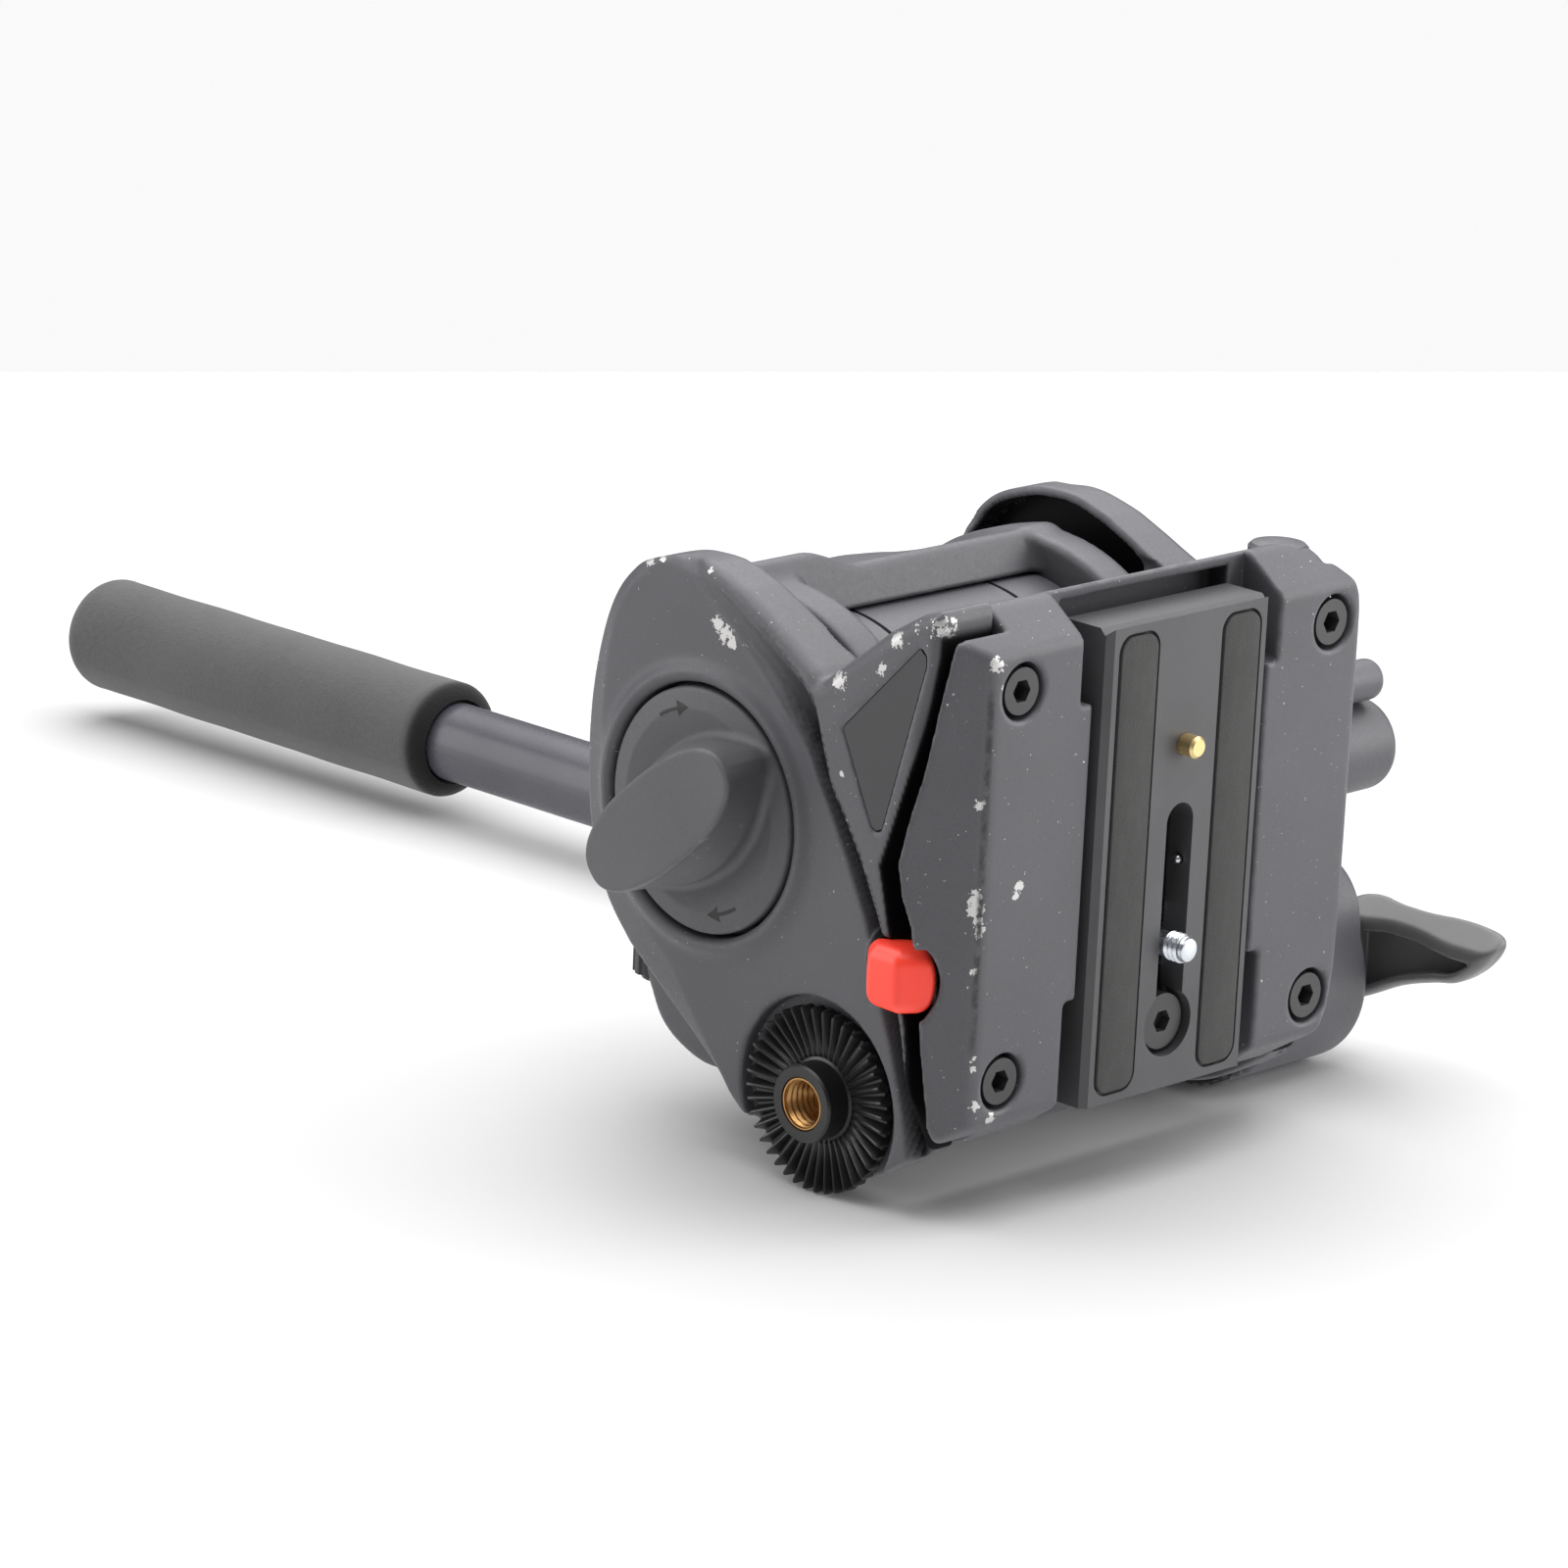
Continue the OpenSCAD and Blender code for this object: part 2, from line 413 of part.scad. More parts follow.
// ---- sliding plate -----------------------------------------------------------------------------------
module sliding_plate() {
  color(dark) T() difference() {
    xz(-plate_len / 2 + 0.3, plate_len / 2 + 0.3) polygon([[-plate_hw + 1.4, 81], [plate_hw - 1.4, 81], [plate_hw, 79.6], [plate_hw, 71.7], [28.5, 71.7], [28.5, 68], [-28.5, 68], [-28.5, 71.7], [-plate_hw, 71.7], [-plate_hw, 79.6]]);
    // ends of the plate: flange cut back, front edge bevelled
    for (x = [plate_hw, -plate_hw - 30]) { translate([x, -80, 60]) cube([30, 80 + step_f + 2, 18]); translate([x, step_r - 2, 60]) cube([30, 80, 18]); }
    translate([-40, -plate_len / 2 + 0.3, 81]) rotate([42, 0, 0]) translate([0, -6, -2.2]) cube([80, 6, 12]);
    // strip pockets
    for (s = [-1, 1]) translate([0, 0, 79.8]) linear_extrude(5) rbox2d(s > 0 ? 9.6 : -22.1, -49.8, s > 0 ? 22.1 : -9.6, 50.3, 4);
    // screw slot with ledge, counterbore of the stop screw, pin bore
    translate([0, 0, 60]) linear_extrude(30) slot2d(-6.5, 32, 4.1);
    translate([0, 0, 60]) linear_extrude(14.5) slot2d(-6.5, 30, 7.2);
    translate([0, 37.8, 75.5]) cylinder(h = 10, r = 7.3);
    translate([0, 37.8, 60]) cylinder(h = 30, r = 3.2);
    translate([0, -23.3, 60]) cylinder(h = 30, r = pin_r + 0.06);
    translate([0, -23.3, 60]) cylinder(h = 16, r = 4.4);
    // seat of the ball in the slot's side
    translate([0, 3, 78]) cx(-5.2, -3, 1.03);
  }
}
module rubber_strips() {
  color(black) T() for (s = [-1, 1]) difference() {
    translate([0, 0, 79.8]) linear_extrude(1.6) rbox2d(s > 0 ? 9.9 : -21.8, -49.5, s > 0 ? 21.8 : -9.9, 50, 3.7);
    // fine ribs along the strip
    for (k = [0:8]) translate([s * 15.85 - 5.2 + 1.3 * k - 0.2, -46, 81.15]) cube([0.4, 92.5, 2]);
  }
}
module stop_screw() { color(black) T() translate([0, 37.8, 79.4]) cap_screw(6.1, 3.9, 3.2, 7, 2.6); }
module detent_ball() { color(steel) T() translate([-3.3, 3, 78]) sphere(r = 1); }
module screw_slider() { color(steel) T() translate([0, 20.6, 0]) difference() { translate([-6.7, -6.7, 72.2]) cube([13.4, 13.4, 2]); cylinder(h = 120, r = cam_screw_r - 0.44); } }
module camera_screw() {
  color(steel) T() translate([0, 20.6, 0]) difference() {
    union() {
      translate([0, 0, 69.2]) cylinder(h = 2.7, r = 6);
      // reduced neck, then the thread that stands above the plate
      translate([0, 0, 71.9]) cylinder(h = 9.2, r = cam_screw_r - 0.5);
      translate([0, 0, 81.1]) cylinder(h = 4, r = cam_screw_r);
      translate([0, 0, 85.1]) cylinder(h = 0.8, r1 = cam_screw_r, r2 = cam_screw_r - 0.8);
    }
    translate([-0.8, -10, 69]) cube([1.6, 20, 1.6]);
  }
}
module video_pin() {
  color(brass) T() translate([0, -23.3, 0]) union() {
    translate([0, 0, 74.2]) cylinder(h = 10.2, r = pin_r);
    translate([0, 0, 84.4]) cylinder(h = 0.6, r1 = pin_r, r2 = pin_r - 0.6);
    translate([0, 0, 74.2]) cylinder(h = 1.4, r = 4);
  }
}
module pin_spring() { color(steel) T() translate([0, -23.3, 0]) rotate([0, -90, 0]) coil_x(3.2, 0.4, 68.5, 73.7, 4, 48, 8); }

// ---- pan bar ---------------------------------------------------------------------------------------------
module PB() { T() at(ros_y, ros_z) rotate([bar_slant, 0, 0]) children(); }
module bar_clamp() {
  color(grey) PB() difference() {
    union() {
      cx(-95, -63.4, clamp_r);
      hull() { at(-15.5, 5) cx(-93, -67.5, 14); at(-4, 2) cx(-93, -67.5, 16); }
      translate([bar_x, bar_off, -52]) cylinder(h = 48, r = 14);
      // teeth that mesh with the rosette
      for (k = [0:ros_n - 1]) rotate([360 * (k + 0.5) / ros_n, 0, 0]) mirror([1, 0, 0]) translate([63.6, 10.4, 0]) rotate([-90, 0, 0]) linear_extrude(ros_r - 11) polygon([[0, -1.1], [-1.6, -0.16], [-1.6, 0.16], [0, 1.1]]);
    }
    translate([bar_x, bar_off, -60]) cylinder(h = 48, r = tube_r);
    cx(-120, -50, 4.8);
    // clamping slit
    translate([bar_x - 0.8, bar_off, -53]) cube([1.6, 20, 40]);
    // recess round the boss of the rosette
    cx(-66, -50, 9);
    // flat end under the lever
    translate([-120, -60, -60]) cube([25, 120, 120]);
  }
}
module bar_tube() { color(grey) PB() translate([bar_x, bar_off, -bar_reach + 12]) difference() { cylinder(h = bar_reach - 24.5, r = tube_r); translate([0, 0, 6]) cylinder(h = bar_reach, r = tube_r - 1.5); } }
module bar_grip() {
  color(black) PB() translate([bar_x, bar_off, -bar_reach]) difference() {
    rotate_extrude() polygon(concat([[0, 0]], [for (a = [5:8:85]) [grip_r - 10 + 10 * sin(a), 8 - 8 * cos(a)]], [[grip_r, 8], [grip_r, grip_len - 4]], [for (a = [5:20:85]) [grip_r - 3 + 3 * cos(a), grip_len - 4 + 3 * sin(a)]], [[grip_r - 3.5, grip_len], [0, grip_len]]));
    translate([0, 0, 12]) cylinder(h = grip_len, r = tube_r);
    translate([0, 0, grip_len - 2]) cylinder(h = 10, r = tube_r + 0.9);
  }
}
module bar_plug() { color(black) PB() translate([bar_x, bar_off, -13.5]) union() { translate([0, 0, -4]) cylinder(h = 5, r = tube_r - 1.5); translate([0, 0, 1]) cylinder(h = 0.4, r = tube_r - 0.6); } }
wing_pts = curve([[-9, 1], [-15.5, 6], [-19, 14], [-19.3, 32], [-18.5, 46], [-15.8, 50.2], [-10.5, 47.5], [-5.4, 41], [-3.4, 34], [0, 24], [5, 14], [9, 4], [8, -6], [0, -9.4], [-7, -7], [-9, 1]], 4);
module wing_lever() {
  color(black) T() at(ros_y, ros_z) difference() {
    union() {
      cx(-105.5, -95.4, 9.4);
      yz(-106.6, -98.6) polygon(wing_pts);
    }
    cx(-102, -90, 4.76);
  }
}
module wing_bolt() { color(steel) T() at(ros_y, ros_z) cx(-102, -52, 4.74); }

base_plate();
tripod_insert();
pan_spindle();
pan_bearing();
pan_fluid_disc();
spindle_nut();
pan_housing();
pan_bush();
tilt_cartridge();
tilt_axle();
counterbalance_spring();
level_body();
level_vial();
housing_screws();
pan_lock_stud();
pan_lock_knob();
left_cheek();
right_cheek();
platform();
platform_screws();
cheek_bushes();
badge_plate();
left_rosette();
right_rosette();
left_insert();
right_insert();
axle_cap();
front_cap();
tilt_brake_pad();
tilt_knob();
knob_bush();
release_button();
button_spring();
lock_lever();
lock_screw();
sliding_plate();
rubber_strips();
stop_screw();
detent_ball();
screw_slider();
camera_screw();
video_pin();
pin_spring();
bar_clamp();
bar_tube();
bar_grip();
bar_plug();
wing_lever();
wing_bolt();
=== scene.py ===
# Looks of the fluid video head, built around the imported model. Lengths in the shape code are millimetres about the tilt axis.
import bpy
import json
import math
import numpy as np
from mathutils import Matrix, Vector

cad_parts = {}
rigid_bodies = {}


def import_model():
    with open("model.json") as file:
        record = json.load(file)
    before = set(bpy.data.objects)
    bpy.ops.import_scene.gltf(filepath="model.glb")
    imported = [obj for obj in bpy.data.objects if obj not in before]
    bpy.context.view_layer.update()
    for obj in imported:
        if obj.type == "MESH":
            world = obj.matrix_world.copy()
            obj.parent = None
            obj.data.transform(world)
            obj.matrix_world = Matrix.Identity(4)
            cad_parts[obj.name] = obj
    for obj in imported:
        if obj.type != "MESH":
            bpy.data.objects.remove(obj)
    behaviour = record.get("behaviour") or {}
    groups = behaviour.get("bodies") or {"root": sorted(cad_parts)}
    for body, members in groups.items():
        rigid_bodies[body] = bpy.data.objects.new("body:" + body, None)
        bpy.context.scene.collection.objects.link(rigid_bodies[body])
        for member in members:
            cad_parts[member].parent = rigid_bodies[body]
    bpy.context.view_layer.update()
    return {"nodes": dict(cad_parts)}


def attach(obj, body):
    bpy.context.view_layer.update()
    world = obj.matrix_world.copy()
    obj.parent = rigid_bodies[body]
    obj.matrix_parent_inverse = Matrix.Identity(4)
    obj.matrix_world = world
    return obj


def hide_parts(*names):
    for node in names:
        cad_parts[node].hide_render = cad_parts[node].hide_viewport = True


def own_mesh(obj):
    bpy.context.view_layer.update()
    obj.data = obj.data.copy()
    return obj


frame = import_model()
NODES = frame["nodes"]
TILT = np.array([0.0, 0.0, 46.0])
COLL = bpy.context.scene.collection


# ---- distance-field kit ----------------------------------------------------------------------
def rmin(a, b, r):
    """Union with a fillet of radius r."""
    return np.maximum(r, np.minimum(a, b)) - np.hypot(np.maximum(r - a, 0), np.maximum(r - b, 0))


def rmax(a, b, r):
    """Intersection with an edge rounded to radius r."""
    return np.minimum(-r, np.maximum(a, b)) + np.hypot(np.maximum(r + a, 0), np.maximum(r + b, 0))


def cut(a, b, r=0.3):
    return rmax(a, -b, r)


def poly(P, U, V):
    """Signed distance to a closed polygon."""
    P = np.asarray(P, float)
    d = np.full(np.broadcast(U, V).shape, 1e12)
    ins = np.zeros(d.shape, bool)
    for i in range(len(P)):
        a = P[i]
        b = P[(i + 1) % len(P)]
        e = b - a
        if e @ e < 1e-12:
            continue
        wu = U - a[0]
        wv = V - a[1]
        t = np.clip((wu * e[0] + wv * e[1]) / (e @ e), 0, 1)
        d = np.minimum(d, (wu - e[0] * t) ** 2 + (wv - e[1] * t) ** 2)
        if a[1] != b[1]:
            ins ^= ((a[1] > V) != (b[1] > V)) & (U < e[0] * (V - a[1]) / e[1] + a[0])
    d = np.sqrt(d)
    return np.where(ins, -d, d)


def cat(P, n=8, closed=False):
    """Catmull-Rom curve through points."""
    P = np.asarray(P, float)
    m = len(P)
    out = []
    for i in range(m if closed else m - 1):
        if closed:
            a, b, c, d = P[(i - 1) % m], P[i], P[(i + 1) % m], P[(i + 2) % m]
        else:
            a, b, c, d = P[max(i - 1, 0)], P[i], P[i + 1], P[min(i + 2, m - 1)]
        for k in range(n):
            t = k / n
            out.append(0.5 * (2 * b + (c - a) * t + (2 * a - 5 * b + 4 * c - d) * t * t + (3 * b - a - 3 * c + d) * t**3))
    if not closed:
        out.append(P[-1])
    return np.array(out)


def step(x):
    x = np.clip(x, 0, 1)
    return x * x * (3 - 2 * x)


def box2(U, V, u0, v0, u1, v1):
    du = np.abs(U - (u0 + u1) / 2) - (u1 - u0) / 2
    dv = np.abs(V - (v0 + v1) / 2) - (v1 - v0) / 2
    return np.hypot(np.maximum(du, 0), np.maximum(dv, 0)) + np.minimum(np.maximum(du, dv), 0)


def slab(W, w0, w1):
    return np.abs(W - (w0 + w1) / 2) - (w1 - w0) / 2


def relief(X, H, h):
    """Distance below a height map H over (Y, Z), with X the height axis."""
    gy, gz = np.gradient(H[0], h)
    c = 1 / np.sqrt(1 + np.minimum(gy**2 + gz**2, 9))
    return (X - H) * c[None]


class Field:
    """A sampled distance field and the smooth mesh of its zero level."""

    def __init__(self, lo, hi, h):
        self.lo = np.asarray(lo, float)
        self.h = h
        n = np.ceil((np.asarray(hi, float) - self.lo) / h).astype(int) + 1
        self.ax = [self.lo[i] + h * np.arange(n[i]) for i in range(3)]
        self.X = self.ax[0][:, None, None]
        self.Y = self.ax[1][None, :, None]
        self.Z = self.ax[2][None, None, :]

    def sample(self, f, p):
        q = (p - self.lo) / self.h
        n = np.array(f.shape)
        i = np.clip(np.floor(q).astype(int), 0, n - 2)
        t = np.clip(q - i, 0, 1)
        out = 0
        for b in range(8):
            o = np.array([b & 1, b >> 1 & 1, b >> 2])
            w = np.prod(np.where(o, t, 1 - t), axis=1)
            out = out + w * f[tuple((i + o).T)]
        return out

    def mesh(self, f):
        f = np.ascontiguousarray(np.broadcast_to(f, [len(a) for a in self.ax]).astype(np.float64))
        s = f < 0
        n = f.shape
        c = np.zeros([k - 1 for k in n], np.uint8)
        for b in range(8):
            o = (b & 1, b >> 1 & 1, b >> 2)
            c += s[o[0] : n[0] - 1 + o[0], o[1] : n[1] - 1 + o[1], o[2] : n[2] - 1 + o[2]]
        act = (c > 0) & (c < 8)
        ai = np.argwhere(act)
        idx = np.full(act.shape, -1, np.int64)
        idx[act] = np.arange(len(ai))
        acc = np.zeros((len(ai), 3))
        cnt = np.zeros(len(ai))
        for a in range(8):
            for b in range(a + 1, 8):
                if bin(a ^ b).count("1") != 1:
                    continue
                oa = np.array([a & 1, a >> 1 & 1, a >> 2])
                ob = np.array([b & 1, b >> 1 & 1, b >> 2])
                fa = f[tuple((ai + oa).T)]
                fb = f[tuple((ai + ob).T)]
                m = (fa < 0) != (fb < 0)
                t = fa[m] / (fa[m] - fb[m])
                acc[m] += oa + t[:, None] * (ob - oa)
                cnt[m] += 1
        v = self.lo + self.h * (ai + acc / cnt[:, None])
        quads = []
        for ax in range(3):
            sl0 = [slice(1, -1)] * 3
            sl1 = [slice(1, -1)] * 3
            sl0[ax] = slice(0, -1)
            sl1[ax] = slice(1, None)
            a = s[tuple(sl0)]
            b = s[tuple(sl1)]
            e = np.argwhere(a != b)
            inside = a[tuple(e.T)]
            off = np.ones(3, int)
            off[ax] = 0
            e = e + off
            p, q = [(1, 2), (2, 0), (0, 1)][ax]
            dp = np.zeros(3, int)
            dp[p] = 1
            dq = np.zeros(3, int)
            dq[q] = 1
            g = [idx[tuple((e - dp - dq).T)], idx[tuple((e - dq).T)], idx[tuple(e.T)], idx[tuple((e - dp).T)]]
            qd = np.stack(g, 1)
            qd[~inside] = qd[~inside][:, ::-1]
            quads.append(qd)
        quads = np.concatenate(quads)
        # relax, then pull back to the zero level
        nv = len(v)
        src = np.concatenate([quads[:, i] for i in range(4)] * 2)
        dst = np.concatenate([quads[:, (i + 1) % 4] for i in range(4)] + [quads[:, (i - 1) % 4] for i in range(4)])
        deg = np.maximum(np.bincount(src, minlength=nv), 1)[:, None]
        e = self.h * 0.5
        for _ in range(3):
            mean = np.stack([np.bincount(src, weights=v[dst, k], minlength=nv) for k in range(3)], 1) / deg
            w = v + 0.5 * (mean - v)
            d = self.sample(f, w)
            g = np.stack([self.sample(f, w + e * np.eye(3)[k]) - self.sample(f, w - e * np.eye(3)[k]) for k in range(3)], 1) / (2 * e)
            gg = np.maximum((g * g).sum(1), 0.25)
            move = -(d / gg)[:, None] * g
            far = np.maximum(np.linalg.norm(move, axis=1) / (0.6 * self.h), 1)[:, None]
            v = w + move / far
        return v, quads


# ---- materials --------------------------------------------------------------------------------
class Mat:
    """Small helper to lay out a procedural material."""

    def __init__(self, name):
        self.m = bpy.data.materials.new(name)
        self.m.use_nodes = True
        self.t = self.m.node_tree
        self.b = self.t.nodes["Principled BSDF"]
        self.co = self.t.nodes.new("ShaderNodeTexCoord").outputs["Object"]

    def node(self, kind, **kw):
        n = self.t.nodes.new(kind)
        for k, v in kw.items():
            setattr(n, k, v)
        return n

    def link(self, a, b):
        self.t.links.new(a, b)

    def noise(self, scale, detail=2.0, rough=0.5, stretch=None):
        n = self.node("ShaderNodeTexNoise")
        n.inputs["Scale"].default_value = scale
        n.inputs["Detail"].default_value = detail
        n.inputs["Roughness"].default_value = rough
        co = self.co
        if stretch:
            mp = self.node("ShaderNodeMapping")
            mp.inputs["Scale"].default_value = stretch
            self.link(co, mp.inputs["Vector"])
            co = mp.outputs["Vector"]
        self.link(co, n.inputs["Vector"])
        return n.outputs["Fac"]

    def ramp(self, fac, stops):
        r = self.node("ShaderNodeValToRGB")
        el = r.color_ramp.elements
        while len(el) < len(stops):
            el.new(0.5)
        for e, (p, c) in zip(el, stops):
            e.position = p
            e.color = (*c, 1) if isinstance(c, tuple) else (c, c, c, 1)
        self.link(fac, r.inputs["Fac"])
        return r.outputs["Color"]

    def math(self, op, a, b=None, clamp=False):
        n = self.node("ShaderNodeMath", operation=op, use_clamp=clamp)
        for i, x in enumerate((a, b)):
            if x is None:
                continue
            if isinstance(x, (int, float)):
                n.inputs[i].default_value = x
            else:
                self.link(x, n.inputs[i])
        return n.outputs[0]

    def mix(self, fac, a, b):
        n = self.node("ShaderNodeMix", data_type="RGBA")
        for s, x in ((n.inputs["Factor"], fac), (n.inputs["A"] if False else n.inputs[6], a), (n.inputs[7], b)):
            if isinstance(x, tuple):
                s.default_value = (*x, 1)
            elif isinstance(x, (int, float)):
                s.default_value = x
            else:
                self.link(x, s)
        return n.outputs[2]

    def range(self, x, a, b, c, d):
        n = self.node("ShaderNodeMapRange")
        self.link(x, n.inputs[0])
        for i, v in enumerate((a, b, c, d)):
            n.inputs[i + 1].default_value = v
        return n.outputs[0]

    def bump(self, height, strength, dist, normal=None):
        n = self.node("ShaderNodeBump")
        n.inputs["Strength"].default_value = strength
        n.inputs["Distance"].default_value = dist
        self.link(height, n.inputs["Height"])
        if normal is not None:
            self.link(normal, n.inputs["Normal"])
        return n.outputs["Normal"]

    def set(self, **kw):
        names = dict(color="Base Color", rough="Roughness", metal="Metallic", normal="Normal", spec="Specular IOR Level", coat="Coat Weight", coat_rough="Coat Roughness", sheen="Sheen Weight", trans="Transmission Weight", ior="IOR", sss="Subsurface Weight")
        for k, v in kw.items():
            s = self.b.inputs[names[k]]
            if isinstance(v, tuple):
                s.default_value = (*v, 1)
            elif isinstance(v, (int, float)):
                s.default_value = v
            else:
                self.link(v, s)
        return self.m


def spots(M, places, wobble):
    """Mask of small irregular marks: each place is a point in millimetres in the row frame, a radius and a stretch along X, Y and Z."""
    n = M.noise(950, 3.0, 0.62)
    total = None
    for (x, y, z), r, s in places:
        mp = M.node("ShaderNodeMapping")
        mp.inputs["Location"].default_value = (-x * 0.001 / s[0], -y * 0.001 / s[1], -z * 0.001 / s[2])
        mp.inputs["Scale"].default_value = (1 / s[0], 1 / s[1], 1 / s[2])
        M.link(M.co, mp.inputs["Vector"])
        ln = M.node("ShaderNodeVectorMath", operation="LENGTH")
        M.link(mp.outputs["Vector"], ln.inputs[0])
        q = M.range(ln.outputs["Value"], 0.0, r * 0.0015, 1.0, 0.0)
        total = q if total is None else M.math("MAXIMUM", total, q)
    k = M.math("ADD", total, M.math("MULTIPLY", M.math("SUBTRACT", n, 0.5), wobble))
    return M.range(k, 0.42, 0.5, 0.0, 1.0)


def arrow_mask(M):
    """Two short curved arrows on the face of the tilt knob, half a turn apart."""
    sep = M.node("ShaderNodeSeparateXYZ")
    M.link(M.co, sep.inputs[0])
    y = M.math("MULTIPLY", sep.outputs[1], 1000.0)
    z = M.math("SUBTRACT", M.math("MULTIPLY", sep.outputs[2], 1000.0), 46.0)
    rho = M.math("SQRT", M.math("ADD", M.math("MULTIPLY", y, y), M.math("MULTIPLY", z, z)))
    off = M.math("ABSOLUTE", M.math("SUBTRACT", rho, 22.2))
    turn = M.math("FLOORED_MODULO", M.math("ARCTAN2", z, y), math.pi)
    mid = M.math("ABSOLUTE", M.math("SUBTRACT", turn, math.radians(23.5)))
    line = M.math("MULTIPLY", M.math("LESS_THAN", off, 0.42), M.math("LESS_THAN", mid, math.radians(11)))
    u = M.math("MULTIPLY", M.math("SUBTRACT", turn, math.radians(10.5)), 22.2)
    head = M.math("MULTIPLY", M.math("LESS_THAN", off, M.math("MULTIPLY", u, 0.5)), M.math("LESS_THAN", u, 3.6))
    return M.math("MAXIMUM", line, head)


def paint(name, base, places=(), rough=0.46, grain=1.0, valley=False, arrows=False, crease=False):
    """Satin paint on a die casting: orange peel, faint mottling, worn edges and chips down to the metal, with painted
    shade where the mesh marks it.
    """
    M = Mat(name)
    big = M.noise(28, 3.0)
    fine = M.noise(2600, 2.0)
    peel = M.noise(1100, 3.0, 0.6)
    col = M.mix(M.range(big, 0.3, 0.7, 0.0, 1.0), tuple(c * 0.9 for c in base), tuple(c * 1.1 for c in base))
    col = M.mix(M.range(fine, 0.35, 0.75, 0.0, 0.35), col, tuple(c * 1.5 for c in base))
    geo = M.node("ShaderNodeNewGeometry")
    edge = M.math("MULTIPLY", M.range(geo.outputs["Pointiness"], 0.515, 0.56, 0.0, 1.0), M.range(M.noise(160, 4.0, 0.6), 0.42, 0.62, 0.0, 0.55))
    col = M.mix(edge, col, tuple(min(c * 2.3, 1.0) for c in base))
    rg = M.range(peel, 0.3, 0.7, rough - 0.05, rough + 0.07)
    metal = 0.0
    gloss = 0.45
    if places:
        chip = spots(M, places, 2.1)
        col = M.mix(chip, col, (0.56, 0.55, 0.54))
        rg = M.mix(chip, rg, (0.36, 0.36, 0.36))
        metal = M.math("MULTIPLY", chip, 0.55)
    if crease:
        sep = M.node("ShaderNodeSeparateXYZ")
        M.link(M.co, sep.inputs[0])
        off = M.math("ABSOLUTE", M.math("SUBTRACT", sep.outputs[0], 0.0572))
        end = M.range(M.math("ABSOLUTE", M.math("ADD", sep.outputs[1], 0.006)), 0.034, 0.044, 1.0, 0.0)
        line = M.math("MULTIPLY", M.range(off, 0.0003, 0.0011, 1.0, 0.0), end)
        line = M.math("MULTIPLY", line, M.range(M.noise(220, 4.0, 0.65), 0.38, 0.58, 0.15, 0.9))
        col = M.mix(line, col, (0.014, 0.014, 0.015))
    if arrows:
        col = M.mix(arrow_mask(M), col, (0.006, 0.006, 0.0065))
    # painted shade: where the mesh attribute marks grooves, gaps and hollows, the paint turns near-black and loses its
    # specular sheen
    if valley:
        at = M.node("ShaderNodeAttribute", attribute_type="GEOMETRY", attribute_name="valley")
        col = M.mix(at.outputs["Fac"], col, (0.005, 0.005, 0.0055))
        gloss = M.range(at.outputs["Fac"], 0.0, 1.0, 0.45, 0.06)
    nrm = M.bump(peel, 0.30 * grain, 0.00012)
    nrm = M.bump(fine, 0.16 * grain, 0.00005, nrm)
    return M.set(color=col, rough=rg, metal=metal, normal=nrm, spec=gloss)


def simple(name, base, rough, metal=0.0, fine=2000, depth=0.00005, strength=0.2, vary=0.12, spec=0.5, stretch=None, coat=0.0):
    M = Mat(name)
    n = M.noise(fine, 3.0, 0.6, stretch)
    b = M.noise(45, 3.0)
    col = M.mix(M.range(b, 0.3, 0.7, 0.0, 1.0), tuple(c * (1 - vary) for c in base), tuple(min(1.0, c * (1 + vary)) for c in base))
    rg = M.range(n, 0.3, 0.7, max(rough - 0.06, 0.03), rough + 0.06)
    return M.set(color=col, rough=rg, metal=metal, normal=M.bump(n, strength, depth), spec=spec, coat=coat)


GREY = (0.073, 0.0724, 0.081)
# wear seen on the front edges, the left fin and the crease of the platform
CHIPS = [((60, -50.5, 26.7), 1.5, (1, 1, 1)), ((60, -52, 30.8), 1.2, (1, 1, 1)), ((60.4, -52.1, 46.2), 0.9, (1, 1, 1)), ((60, -41.2, 48.2), 1.9, (1, 1, 1)), ((60, -39.6, 50.4), 2.2, (1, 1, 1)), ((60, -38.0, 52.4), 1.7, (1, 1, 1)), ((65.5, -39, 89.5), 2.2, (1, 1, 1)), ((65.5, -44.2, 101.9), 1.5, (1, 1, 1)), ((65, -51.3, 105.6), 2.0, (1, 1, 1)), ((64.5, -54.4, 111), 1.6, (1, 1, 1)), ((63.6, -55.6, 116), 2.6, (1, 1, 1)), ((64, -53.4, 115.2), 1.3, (1, 1, 1)), ((60.5, -47, 58.5), 0.8, (1, 1, 1)), ((65.8, -20, 92), 0.8, (1, 1, 1))]
SCUFFS = [((56.2, -48.7, 125.2), 2.0, (1, 1, 1)), ((54.1, -43.5, 125.4), 1.1, (1, 1, 1)), ((63.5, -55.6, 121), 1.1, (1, 1, 1)), ((58.6, -19.6, 123.9), 1.3, (1, 1, 1)), ((58.2, 0.2, 124.2), 1.7, (1, 1, 1)), ((58.2, 2.6, 124.1), 2.0, (1, 1, 1)), ((57.6, 5.4, 124.5), 1.2, (1, 1, 1)), ((57.2, 7.8, 124.9), 1.4, (1, 1, 1)), ((46.2, -0.2, 125), 1.5, (1, 1, 1)), ((47.4, 1.6, 125), 1.1, (1, 1, 1)), ((58, 16, 124.3), 0.9, (1, 1, 1)), ((57, 35, 124.9), 0.9, (1, 1, 1)), ((57, 37, 124.9), 0.8, (1, 1, 1)), ((55.8, 45.4, 125), 1.3, (1, 1, 1)), ((51, 48.9, 125), 1.2, (1, 1, 1))]
m_cheek = paint("cast_cheek", GREY, CHIPS, valley=True)
m_cheek_r = paint("cast_cheek_r", GREY, valley=True)
m_plat = paint("cast_platform", GREY, SCUFFS, valley=True, crease=True)
m_cast = paint("cast_grey", GREY)
